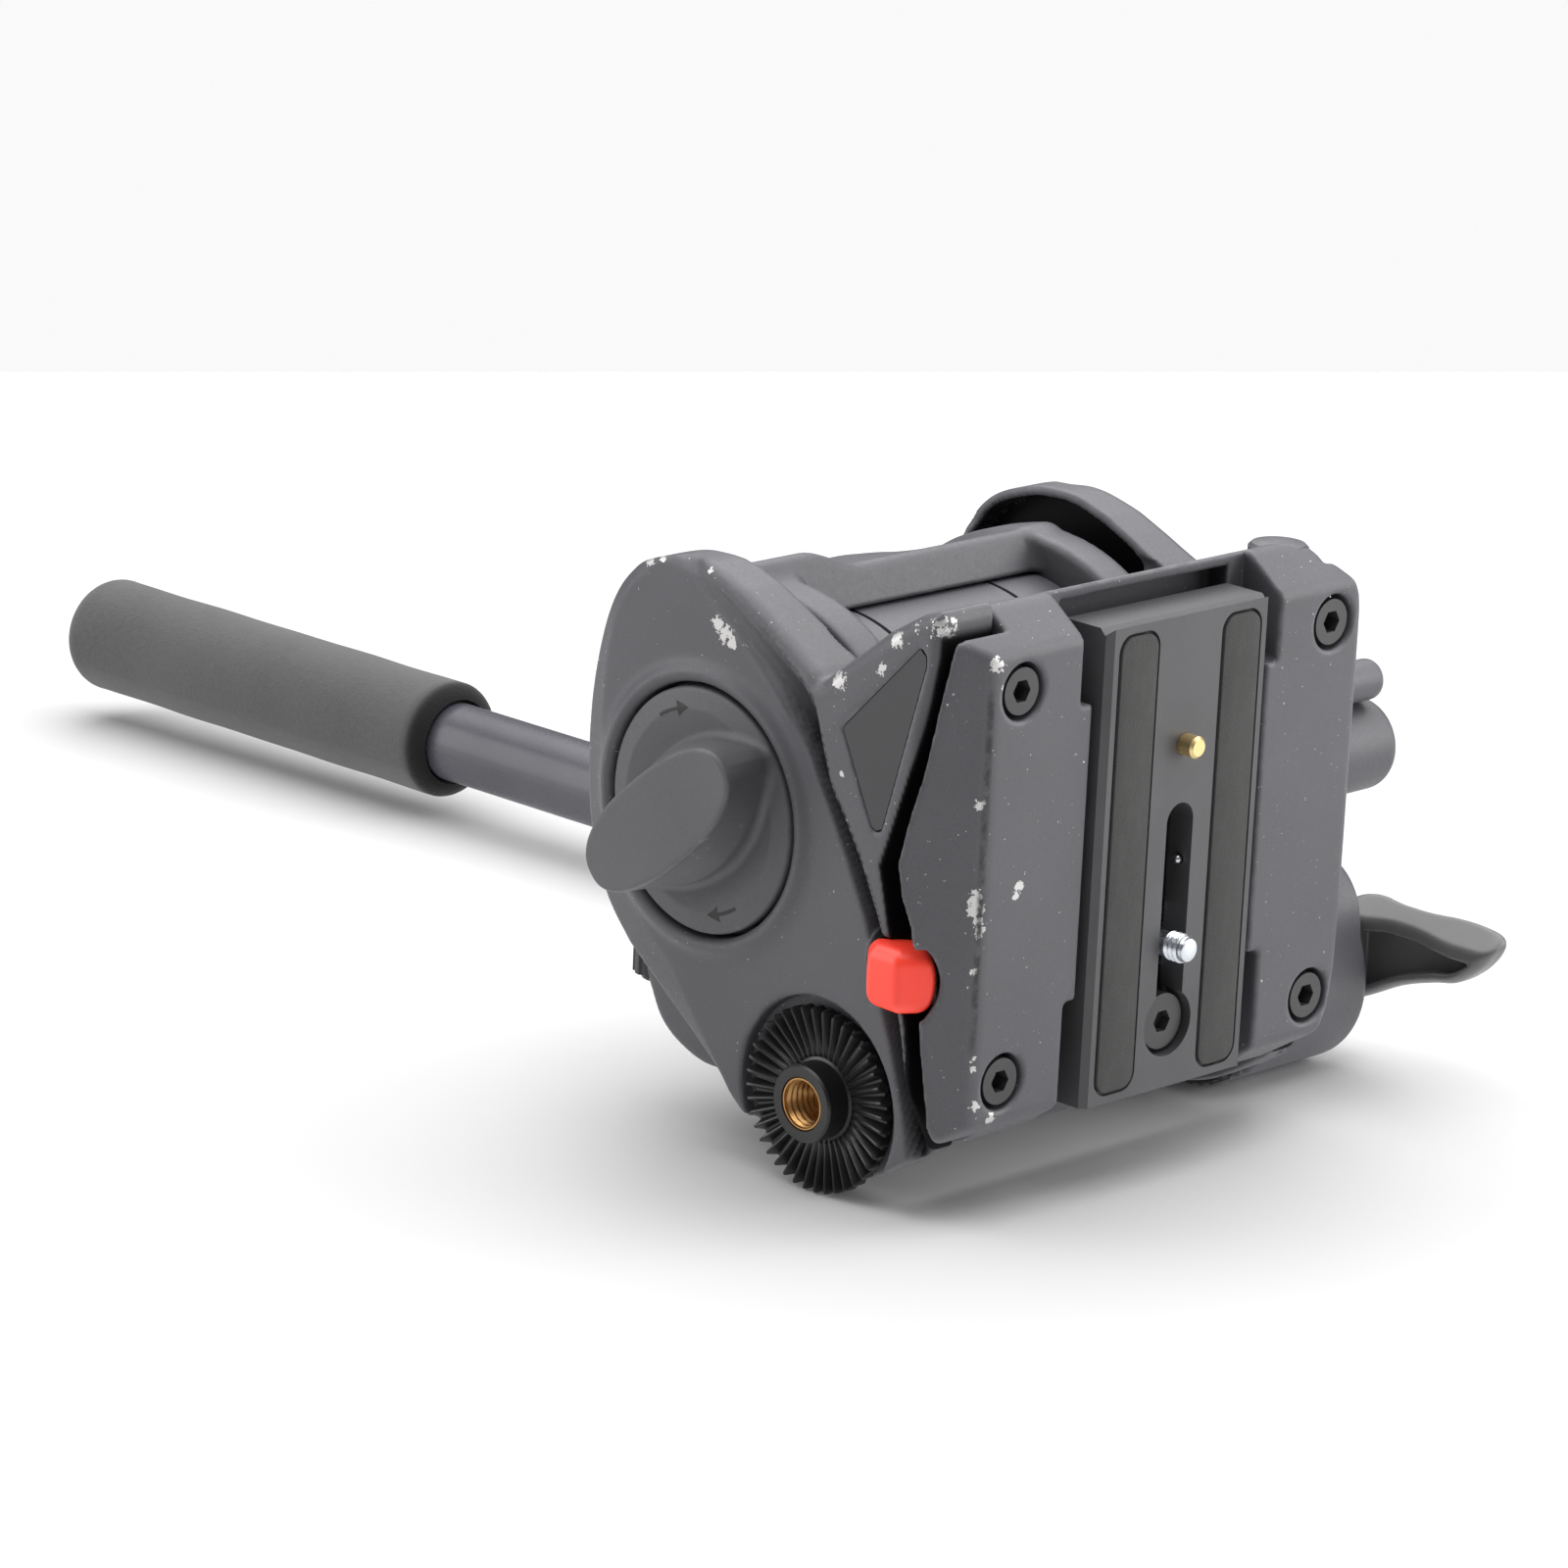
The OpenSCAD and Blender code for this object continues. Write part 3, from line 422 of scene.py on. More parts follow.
m_knob = paint("cast_knob", (0.076, 0.0755, 0.081), rough=0.5, arrows=True)
m_turned = simple("turned_grey", GREY, 0.46, fine=1800, depth=0.00004, vary=0.05)
m_tube = simple("tube_paint", (0.054, 0.054, 0.066), 0.30, fine=2600, depth=0.00003)
m_plate = simple("anodised", (0.068, 0.068, 0.072), 0.44, metal=0.15, fine=3200, depth=0.00002, stretch=(1, 0.12, 1))
m_black = simple("black_plastic", (0.010, 0.010, 0.0104), 0.36, fine=1500, depth=0.00005)
m_lever = simple("lever_black", (0.115, 0.115, 0.117), 0.36, fine=1500, depth=0.00005)
m_bsteel = simple("black_steel", (0.058, 0.056, 0.058), 0.36, metal=0.4, fine=2400, depth=0.00002)
m_steel = simple("steel", (0.62, 0.63, 0.65), 0.26, metal=1.0, fine=1800, depth=0.00001)
m_zinc = simple("zinc_steel", (0.70, 0.73, 0.78), 0.30, metal=1.0, fine=1800, depth=0.00001)
m_brass = simple("brass", (0.76, 0.58, 0.28), 0.40, metal=1.0, fine=1800, depth=0.00001)
m_bronze = simple("brass_dull", (0.52, 0.30, 0.12), 0.38, metal=1.0, fine=1800, depth=0.00001)
m_red = simple("red_plastic", (1.0, 0.055, 0.030), 0.36, fine=1600, depth=0.00003, vary=0.05)
m_badge = simple("badge_grey", (0.030, 0.030, 0.033), 0.4, fine=2600, depth=0.00001)
m_recess = simple("recess_dark", (0.02, 0.02, 0.021), 0.6)


def foam_material():
    M = Mat("foam")
    pores = M.node("ShaderNodeTexVoronoi")
    pores.inputs["Scale"].default_value = 1300
    M.link(M.co, pores.inputs["Vector"])
    p = M.range(pores.outputs["Distance"], 0.0, 0.5, 0.0, 1.0)
    n = M.noise(700, 4.0, 0.65)
    b = M.noise(30, 3.0)
    col = M.mix(M.range(b, 0.3, 0.7, 0.0, 1.0), (0.068, 0.068, 0.069), (0.083, 0.083, 0.085))
    col = M.mix(M.range(n, 0.4, 0.75, 0.0, 0.5), col, (0.10, 0.10, 0.102))
    # painted shade: near-black where the mesh attribute marks the front end of the grip
    at = M.node("ShaderNodeAttribute", attribute_type="GEOMETRY", attribute_name="valley")
    col = M.mix(at.outputs["Fac"], col, (0.007, 0.007, 0.0075))
    nrm = M.bump(p, 0.35, 0.00025)
    nrm = M.bump(n, 0.35, 0.0003, nrm)
    return M.set(color=col, rough=0.88, normal=nrm, spec=0.25, sheen=0.12)


m_foam = foam_material()


def rubber_material():
    M = Mat("rubber")
    n = M.noise(2200, 4.0, 0.7)
    w = M.noise(500, 3.0, 0.6, (1, 0.25, 1))
    b = M.noise(40, 3.0)
    col = M.mix(M.range(b, 0.3, 0.7, 0.0, 1.0), (0.040, 0.040, 0.039), (0.050, 0.050, 0.049))
    col = M.mix(M.range(w, 0.45, 0.75, 0.0, 0.5), col, (0.072, 0.071, 0.070))
    col = M.mix(M.range(n, 0.35, 0.7, 0.0, 0.6), col, (0.075, 0.074, 0.073))
    nrm = M.bump(n, 0.8, 0.0002)
    return M.set(color=col, rough=0.78, normal=nrm, spec=0.3)


m_rubber = rubber_material()


def vial_material():
    M = Mat("vial")
    n = M.noise(60, 2.0)
    col = M.mix(M.range(n, 0.3, 0.7, 0.0, 1.0), (0.62, 0.70, 0.10), (0.70, 0.76, 0.16))
    return M.set(color=col, rough=0.08, trans=0.35, ior=1.45)


m_vial = vial_material()


# ---- objects ---------------------------------------------------------------------------------
def make(name, v, faces, mat, body, nodes=(), slot=None, smooth=True, sharp=None):
    """An object from vertices in millimetres in the row frame."""
    me = bpy.data.meshes.new(name)
    me.from_pydata((np.asarray(v) * 0.001).tolist(), [], [list(map(int, q)) for q in faces])
    me.validate()
    me.update()
    if smooth:
        me.shade_smooth()
    if sharp is not None:
        me.set_sharp_from_angle(angle=math.radians(sharp))
    me.materials.append(mat)
    o = bpy.data.objects.new(name, me)
    COLL.objects.link(o)
    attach(o, body)
    if nodes:
        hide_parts(*nodes)
    return o


def lathe(profile, n=72, axis="x", origin=(0, 0, 0), closed=False):
    """Turned form: profile of (along, radius) pairs; points with radius 0 close the ends."""
    v, rings = [], []
    for a, r in profile:
        if r <= 1e-9:
            rings.append([len(v)])
            v.append((a, 0.0, 0.0))
        else:
            rings.append(list(range(len(v), len(v) + n)))
            for k in range(n):
                t = 2 * math.pi * k / n
                v.append((a, r * math.cos(t), r * math.sin(t)))
    f = []
    pairs = list(zip(rings, rings[1:])) + ([(rings[-1], rings[0])] if closed else [])
    for p, q in pairs:
        for k in range(n):
            j = (k + 1) % n
            if len(p) == 1 and len(q) == 1:
                continue
            if len(p) == 1:
                f.append((p[0], q[j], q[k]))
            elif len(q) == 1:
                f.append((p[k], p[j], q[0]))
            else:
                f.append((p[k], p[j], q[j], q[k]))
    v = np.array(v)
    if axis == "y":
        v = v[:, [2, 0, 1]]
    elif axis == "z":
        v = v[:, [1, 2, 0]]
    return v + np.asarray(origin, float), f


def join(*parts):
    v, f, n = [], [], 0
    for a, b in parts:
        v.append(np.asarray(a))
        f += [tuple(int(i) + n for i in q) for q in b]
        n += len(a)
    return np.concatenate(v), f


def thread(r0, r1, z0, z1, pitch, n=48, per=8, inside=False):
    """Threaded surface along Z between z0 and z1: radius runs between r0 and r1."""
    m = int((z1 - z0) / pitch * per) + 1
    v = []
    for i in range(m + 1):
        z = z0 + (z1 - z0) * i / m
        for k in range(n):
            ph = (z / pitch - k / n) % 1.0
            w = abs(2 * ph - 1)
            w = min(max((w - 0.12) / 0.76, 0), 1)
            fade = min(1.0, (z1 - z) / (0.8 * pitch), (z - z0) / (0.8 * pitch) + 0.2) if not inside else 1.0
            r = r0 + (r1 - r0) * w * max(fade, 0.0)
            t = 2 * math.pi * k / n
            v.append((r * math.cos(t), r * math.sin(t), z))
    f = []
    for i in range(m):
        for k in range(n):
            j = (k + 1) % n
            q = (i * n + k, i * n + j, (i + 1) * n + j, (i + 1) * n + k)
            f.append(q[::-1] if inside else q)
    return np.array(v), f, n, m


# ---- outlines about the tilt axis, as (y, z) ----------------------------------------------------
LOBE = [(-50.6, 10.8), (-53.2, 2), (-53.7, -5), (-52.6, -13.5), (-47.8, -25), (-38.2, -32.4), (-22, -36.8), (-5, -38), (12, -36.4), (26, -31), (35.5, -23)]
VEE = [(57.5, 68.4), (36, 68.6), (28, 67.4), (10, 61.8), (-3, 58.4), (-16, 62.8), (-27, 66.4), (-40, 69.6), (-50, 71.4), (-56.6, 71.6)]
WING = [(-59.2, 70.6), (-57.3, 65), (-52, 56.2), (-45.6, 48), (-40, 40.5), (-37.6, 37.6), (-37.6, 36.4), (-38.9, 34.6), (-43.2, 26.3), (-47.3, 18)]
REAR = [(49, -4.3)] + [tuple(p) for p in cat([(57, 6.8), (65.5, 18), (70.5, 29.5), (71.5, 40), (69.5, 49), (65.5, 57), (60, 65.5)])]
CHEEK = [tuple(p) for p in cat(LOBE)] + REAR + VEE + WING
CREASE = cat([(-57, -20), (-53.2, -11.4), (-51.4, -6.4), (-46.9, 0.4), (-42.6, 6.8), (-38, 12), (-33.2, 17.4), (-27, 23.4), (-21, 29), (-13.2, 34), (-8, 37.4), (-3.2, 40.3), (1.4, 43), (8.5, 46.7), (15, 49.8), (30, 54.4), (38.5, 57.9), (50, 61.5), (64, 65)])
RIB = cat([(-60, -16), (-54.6, -6), (-50.4, 7.7), (-47.6, 13.2), (-44.9, 19.2), (-41.7, 25), (-38.9, 29.6), (-35.8, 34.4), (-31, 38.4), (-24, 41), (-16.6, 43.9), (-11.6, 47.5), (-6.8, 50.7), (-2.4, 53.5), (4.3, 57), (11, 60.2), (26, 65.6), (34.7, 67.7), (46, 69.5), (64, 70.5)])
ROS = (54.5, 37.2)
BADGE = [(-51, 66.3), (-49.6, 68), (-47.6, 68.2), (-10.3, 57.8), (-9.6, 56), (-10.4, 54.8), (-29.2, 45.4), (-30.4, 46.2)]


def button_frame(X, Y, Z):
    c = math.sqrt(0.5)
    return c * (X + Z), Y - 19 + 0 * X, c * (Z - X)


def cheek(right):
    h = 0.6
    F = Field((48.8, -63.5, -39.5), (67.6, 75.5, 75.5), h)
    X, Y, Z = F.X, F.Y, F.Z
    d2 = poly(CHEEK, Y, Z)
    rho = np.hypot(Y, Z)
    s = 0.62 * Y + 0.78 * Z
    # outer face round the knob, with its chamfered rim and the raised lip
    low = step((10 - (Z - 0.55 * Y)) / 12)
    wide = np.interp(np.asarray(Y), [-50, -30, 0, 24, 36, 46, 54, 60], [2.5, 4.5, 7.5, 9.5, 8.5, 5, 2.5, 0.8])
    face = 60 - 2.0 * np.clip((wide + d2) / wide, 0, 1) * low + 1.5 * np.exp(-(((rho - 29.6) / 2.0) ** 2))
    # raised rib: a slope on the fin that turns into a groove with a wall beside the wing
    q = -poly([tuple(p) for p in CREASE] + [(64, 95), (-85, 95), (-85, -20)], Y, Z)
    r = -poly([tuple(p) for p in RIB] + [(64, 95), (-85, 95), (-85, -16)], Y, Z)
    u = np.clip(q / np.maximum(q + np.maximum(-r, 0), 0.1), 0, 1)
    u = np.where(r > 0, 1.0, u)
    rib = np.interp(s, [-46, -38, -25, -10, 5, 15, 60], [60.6, 61.6, 63.0, 64.0, 65.3, 66, 66.0])
    deep = np.interp(s, [-46, -30, -15, 0, 12, 25, 70], [0, 0.3, 0.8, 1.8, 3.4, 4.6, 5.0])
    late = step((s + 8) / 18)
    rise = (0.5 * u + 0.5 * step(u)) * (1 - late) + step((u - 0.58) / 0.40) * late
    dip = np.sin(np.pi * np.clip(u / 0.84, 0, 1)) ** 1.2
    H = face + (rib - face) * rise - deep * dip
    H = H + 0.35 * np.exp(-(((q + 0.7) / 0.8) ** 2)) * step((10 - s) / 10) * step((s + 50) / 10)
    # painted shade: how dark the groove beside the wing stem is painted, fading out towards the top of the fin
    shade = np.interp(s, [-40, -15, 0, 10, 22, 70], [0, 0.22, 0.6, 0.95, 1, 1]) * step(u / 0.28) * step((1 - u) / 0.08)
    rim = 0.9 + step((-22 - Y) / 14) * step((Z + 17) / 9) * np.interp(np.asarray(Z), [30, 42], [3.1, 2.1])
    f = rmax(d2 + 0 * X, relief(X, H, h), rim)
    f = rmax(f, 50.2 - X, 0.8)
    # bosses for the platform screws
    for y in (-41.7, 41.7):
        f = np.minimum(f, np.maximum(np.hypot(X - 48, Y - y) - 6, slab(Z, 54, 62)))
    # seat of the knob, bores and the pocket of the rosette
    f = cut(f, np.maximum(rho - 27.6, 54.6 - X), 0.5)
    f = cut(f, rho - 11 + 0 * X, 0.3)
    ra = np.hypot(Y - ROS[0], Z - ROS[1])
    f = cut(f, np.maximum(ra - 22.4, 56.5 - X), 0.9)
    f = cut(f, np.maximum(ra - 9, 52 - X), 0.2)
    f = cut(f, ra - 5.8 + 0 * X, 0.2)
    for y in (-41.7, 41.7):
        f = cut(f, np.hypot(X - 48, Y - y) - 3 + 0 * Z, 0.1)
    # hollow behind the front lobe
    hol = rmax(rmax(d2 + 2.2, np.maximum(Y - 12, Z - 22), 4), 30 - rho, 2)
    f = cut(f, rmax(hol + 0 * X, X - 56.6, 1.2), 0.6)
    if not right:
        f = cut(f, np.maximum(poly(BADGE, Y, Z), 64.7 - X), 0.25)
        a, b, c = button_frame(X, Y, Z)
        f = np.minimum(f, np.maximum(np.hypot(b, c) - 7.2, slab(a, 64, 83.2)))
        f = cut(f, np.maximum(np.maximum(83.4 - a, np.abs(b) - 7.4), np.abs(c + 0.1) - 7.4), 0.4)
        f = cut(f, np.maximum(np.hypot(b, c) - 3.06, 75 - a), 0.1)
        f = cut(f, np.maximum(np.hypot(Y, Z + 18) - 4.9, X - 58), 0.1)
    else:
        la = np.hypot(Y + 4, Z - 57)
        f = cut(f, np.maximum(la - 21.5, 58.5 - X), 0.8)
        f = cut(f, la - 4.5 + 0 * X, 0.2)
        f = cut(f, np.maximum(poly([(-80, 46), (-20, 46), (6, 53), (14, 90), (-80, 90)], Y, Z), 57 - X), 1.0)
        f = cut(f, poly([(-80, 44), (-47, 44), (-47, 90), (-80, 90)], Y, Z) + 0 * X, 1.0)
    v, fc = F.mesh(f)
    i = np.clip(np.rint((v - F.lo) / h).astype(int), 0, np.array([len(k) for k in F.ax]) - 1)
    # painted shade: near-black paint in that groove, on the strip under the platform's edge and inside the hollow
    # behind the front lobe
    dark = shade[0][i[:, 1], i[:, 2]] * step((v[:, 0] - 54) / 2)
    top = np.interp(v[:, 1], [k[0] for k in VEE[::-1]], [k[1] for k in VEE[::-1]])
    dark = np.maximum(dark, step((v[:, 2] - top + 0.9) / 0.5) * step((v[:, 1] + 55.5) / 2.5))
    inner = np.broadcast_to(hol, [1] + [len(k) for k in F.ax[1:]])[0][i[:, 1], i[:, 2]]
    dark = np.maximum(dark, step((0.2 - inner) / 0.5) * step((57.6 - v[:, 0]) / 0.4))
    if right:
        v = v * np.array([-1, 1, 1])
        fc = fc[:, ::-1]
    return v + TILT, fc, dark


for name, right, mat in (("left_cheek", False, m_cheek), ("right_cheek", True, m_cheek_r)):
    v, f, dark = cheek(right)
    o = make(name + "_look", v, f, mat, "tilt", [name], "cast_grey")
    # the painted shade mask is stored on the mesh
    o.data.attributes.new("valley", "FLOAT", "POINT").data.foreach_set("value", dark.astype(np.float32))


def platform():
    h = 0.6
    F = Field((-75.5, -59.5, 53.8), (75.5, 59.5, 80.2), h)
    X, Y, Z = F.X, F.Y, F.Z
    plan = poly([(-45, -58), (58, -58), (62, -56.8), (64.8, -54), (75, -36), (75, 38), (62, 54), (54, 58), (-56, 58), (-66, 54), (-75, 42), (-75, -36), (-57.6, -39), (-57.2, -43), (-56.2, -47), (-54.2, -51), (-51.2, -54.4), (-48, -56.8)], X, Y)
    f = rmax(plan + 0 * Z, Z - 79 + 0 * X + 0 * Y, 0.9)
    f = rmax(f, (0.667 * np.abs(X) + Z - 117) / 1.202 + 0 * Y, 1.1)
    f = rmax(f, 0.806 * (np.abs(Y) - 50.3) + 0.591 * (Z - 79) + 0 * X, 1.4)
    f = rmax(f, -0.9035 * (Y + 57.6) - 0.4288 * (Z - 66.8) + 0 * X, 0.8)
    f = rmax(f, 55 - Z + 0 * X + 0 * Y, 0.8)
    # underside of the side facets, and the gap over the cheeks
    under = (0.264 * (np.abs(X) - 50) - (Z - 60)) / 1.034
    f = np.where(np.abs(X) > 49, np.maximum(f, under + 0 * Y), f)
    vz = np.interp(np.asarray(Y), [-70, -57, -51, -40, -26, -16, -7, 0, 7, 23, 35, 47, 57.5, 70], [75.5, 74.2, 73.5, 72.3, 70.9, 69.4, 68.4, 69, 70.3, 71.4, 72.2, 73.1, 73.6, 74])
    gap = np.maximum(49.5 - np.abs(X) + 0 * Y, 0.97 * (Z - vz))
    f = cut(f, gap, 1.1)
    # straight side over the plate lock
    f = cut(f, poly([(-80, -70), (-57.3, -70), (-57.3, 22), (-56.7, 36), (-55, 46), (-52, 52), (-46.5, 57), (-40, 61), (-80, 61)], X, Y) + 0 * Z, 1.4)
    # hollow under the channel, channel, groove and entry pockets
    f = np.maximum(f, -np.maximum(np.maximum(np.abs(X) - 40, np.abs(Y) - 46), Z - 63))
    f = cut(f, np.maximum(np.abs(X) - 27 + 0 * Y, 67.5 - Z), 0.5)
    f = cut(f, np.maximum(np.abs(X) - 29 + 0 * Y, slab(Z, 67.5, 72.2)), 0.2)
    f = cut(f, np.maximum(np.maximum(np.abs(X) - 26 + 0 * Y, slab(Y, -55, -47)) + 0 * Z, 61.6 - Z), 0.2)
    for yy in (-35.8 - Y, Y - 28):
        pocket = rmax(np.abs(X) - 30.5 + 0 * Y, -yy + 0 * X, 1.2)
        f = cut(f, np.maximum(pocket, 67.5 - Z), 0.6)
    for x in (-48, 48):
        for y in (-41.7, 41.7):
            r = np.hypot(X - x, Y - y)
            f = cut(f, np.maximum(r - 6.2, 72.6 - Z), 0.45)
            f = cut(f, r - 3.3 + 0 * Z, 0.1)
            f = cut(f, np.maximum(r - 6.3, Z - 62.3), 0.1)
    a, b, c = button_frame(X, Y, Z)
    f = cut(f, np.maximum(np.maximum(83.4 - a, np.abs(b) - 7.6), np.maximum(np.hypot(b, c + 3.0) - 10.7, -7.5 - c)), 0.5)
    f = cut(f, np.maximum(np.hypot(Y + 4, Z - 57) - 4.06, X + 38), 0.1)
    f = cut(f, np.maximum(np.hypot(X + 46.5, Z - 63.4) - 6.65, Y + 49), 0.3)
    v, fc = F.mesh(f)
    # painted shade: near-black paint along the gap over the cheeks, below the platform's edge
    edge = np.interp(v[:, 1], F.ax[1], vz[0, :, 0])
    dark = step((edge + 0.5 - v[:, 2]) / 0.4) * step((np.abs(v[:, 0]) - 50) / 0.6)
    return v + TILT, fc, dark


v, f, dark = platform()
o = make("platform_look", v, f, m_plat, "tilt", ["platform"], "cast_grey")
# the painted shade mask is stored on the mesh
o.data.attributes.new("valley", "FLOAT", "POINT").data.foreach_set("value", dark.astype(np.float32))


def housing():
    h = 0.75
    F = Field((-48.5, -56, -36.5), (50.5, 64.5, 47.5), h)
    X, Y, Z = F.X, F.Y, F.Z
    R = np.hypot(X, Y)
    bowl = poly([(-5, -35), (30, -35), (33, -34), (36.5, -31), (39.5, -27), (41.5, -23), (42.5, -18), (42.5, -12), (-5, -12)], R, Z)
    # cradle: a sloping front under a rounded rim, fuller on the left
    yf = np.interp(Z, [-36, -33, -23, -12, 0.2, 2.4, 4], [-31, -33, -39, -43.6, -48, -48.3, -48.3])
    yf = yf - 4.5 * step((X - 15) / 15) * step((Z + 34) / 22)
    yf = yf - 1.6 * step((Z - 0.5) / 2.0) * step((X + 44) / 30) * step((14 - X) / 10)
    crad = rmax((yf - Y) * 0.9, (Z - 3.4 + 0.5 * np.clip(-39.5 - Y, 0, 20)) * 0.9 + 0 * X, 2.2)
    rear = poly([(-30, 3.4), (40, 3), (52, -6), (54, -16), (50, -26), (42, -32), (-30, -34)], Y, Z)
    crad = rmax(crad, np.where(Y < 0, -9.0, rear) + 0 * X, 2.0)
    crad = rmax(crad, -33.8 - Z + 0 * X + 0 * Y, 2.0)
    crad = rmax(crad, box2(X, Y, -34, -48, 34, 44) - 12 + 0 * Z, 1.0)
    f = rmin(bowl, crad, 4.0)
    rho = np.hypot(Y, Z)
    trim = np.maximum(-34 - Z, 0 * X - 1e3)
    for x0, x1 in ((-46.5, -36.5), (34.5, 44.5)):
        disc = rmax(rho - 46.5 + 0 * X, slab(X, x0, x1) + 0 * Y, 1.6)
        f = rmin(f, rmax(disc, trim + 0 * Y, 1.0), 2.5)
    arm = cat([(30, -31), (42, -30.5), (48, -28.7), (55.5, -24.6), (60, -18), (62.3, -9), (60.2, 2), (52.5, 13), (43, 21.5), (32, 30)])
    lobe = poly([(-4, -20), (10, -33)] + [tuple(p) for p in arm] + [(10, 30)], Y, Z)
    f = rmin(f, rmax(lobe + 0 * X, slab(X, 34.5, 46.5) + 0 * Y, 1.8), 2.0)
    f = rmin(f, rmax(np.hypot(X - 8, Y - 50) - 10.5 + 0 * Z, slab(Z, -16, -3.5) + 0 * X, 1.0), 2.0)
    f = rmin(f, rmax(np.hypot(X - 40, Z + 30) - 8 + 0 * Y, slab(Y, 14, 36) + 0 * X, 1.0), 2.0)
    # saddle, chamber and bores
    f = cut(f, np.maximum(rho - 38.6 + 0 * X, slab(X, -36.5, 34.5) + 0 * Y), 0.5)
    f = cut(f, np.maximum(np.maximum(np.abs(Y) - 38.6, -Z) + 0 * X, slab(X, -36.5, 34.5) + 0 * Y), 0.5)
    f = np.maximum(f, -np.maximum(R - 27, -30 - Z))
    f = np.maximum(f, -np.maximum(R - 12 + 0 * Z, Z + 20))
    f = cut(f, rho - 8 + 0 * X, 0.3)
    f = cut(f, np.maximum(np.hypot(X - 8, Y - 50) - 8.5, -8.5 - Z), 0.3)
    f = cut(f, np.maximum(np.hypot(X - 40, Z + 30) - 3, slab(Y, 10, 40)), 0.1)
    f = np.maximum(f, -34.95 - Z)
    for a in (45, 135):
        y, z = 24 * math.cos(math.radians(a)), 24 * math.sin(math.radians(a))
        r = np.hypot(Y - y, Z - z)
        f = cut(f, np.maximum(r - 4.6, 41.5 - X), 0.2)
        f = cut(f, np.maximum(r - 4.6, X + 43.5), 0.2)
        f = np.maximum(f, -(r - 2.4 + 0 * X))
    v, fc = F.mesh(f)
    return v + TILT, fc


o = make("pan_housing_look", *housing(), m_cast, "pan", ["pan_housing"], "cast_grey")


def knob():
    h = 0.42
    F = Field((54.4, -28, -28), (75, 28, 28), h)
    X, Y, Z = F.X, F.Y, F.Z
    rho = np.hypot(Y, Z)
    t = math.radians(40)
    p = Y * math.cos(t) + Z * math.sin(t)
    q = -Y * math.sin(t) + Z * math.cos(t)
    top = np.interp(rho, [0, 12, 17, 22, 26.1, 27.5], [60.2, 60.4, 61.0, 61.6, 60.9, 60.2])
    disc = rmax(rho - 26.9 + 0 * X, (X - top) * 0.97, 0.8)
    disc = rmax(disc, 55.1 - X + 0 * Y + 0 * Z, 0.4)
    # grip: a blunt oval end on a wider pointed root
    oval = []
    for k in range(60):
        a = 2 * math.pi * k / 60
        c, w = math.cos(a), math.sin(a)
        oval.append((10.4 * math.copysign(abs(c) ** 0.84, c), 25.2 * math.copysign(abs(w) ** 0.84, w)))
    end = poly(oval, p, q)
    root = np.maximum(np.hypot(p - 20.2, q) - 33.8, np.hypot(p + 20.2, q) - 33.8)
    w = np.clip((73.0 - X) / 8.5, 0, 1) ** 1.15
    grip = rmax(end * (1 - w) + root * w, X - 74.2 + 0 * p, 0.9)
    grip = rmax(grip, rho - 25.9 + 0 * X, 1.2)
    grip = np.maximum(grip, 58 - X)
    f = rmin(disc, grip, 1.8)
    f = rmax(f, rho - 26.9 + 0 * X, 0.6)
    f = cut(f, np.maximum(rho - 7.5, X - 58.6), 0.1)
    v, fc = F.mesh(f)
    return v + TILT, fc


o = make("tilt_knob_look", *knob(), m_knob, "tilt_lock", ["tilt_knob"], "cast_grey")


def button():
    F = Field((80.5, -8.4, -8.4), (99.6, 8.4, 8.6), 0.36)
    A, B, C = F.X, F.Y, F.Z
    prof = poly([(95.0, 5.0), (96.0, -0.6), (91.6, -4.8), (88.6, -4.8), (88.6, 5.0)], A, C)
    f = rmax(prof + 0 * B, np.abs(B) - 4.9 + 0 * A, 1.2) - 2.4
    f = f + 0.006 * B**2
    f = rmax(f, np.hypot(B, C + 3.0) - 10.2 + 0 * A, 1.2)
    f = np.maximum(f, 86.6 - A)
    f = np.minimum(f, np.maximum(np.hypot(B, C) - 3, slab(A, 82, 90)))
    v, fc = F.mesh(f)
    c = math.sqrt(0.5)
    w = np.stack([c * (v[:, 0] - v[:, 2]), v[:, 1] + 19, c * (v[:, 0] + v[:, 2])], 1)
    return w + TILT, fc


o = make("release_button_look", *button(), m_red, "button", ["release_button"], "red_plastic")


def bar_frame(v):
    t = math.radians(0.62)
    y = v[:, 1] * math.cos(t) - v[:, 2] * math.sin(t)
    z = v[:, 1] * math.sin(t) + v[:, 2] * math.cos(t)
    return np.stack([v[:, 0], y + ROS[0], z + ROS[1] + 46], 1)


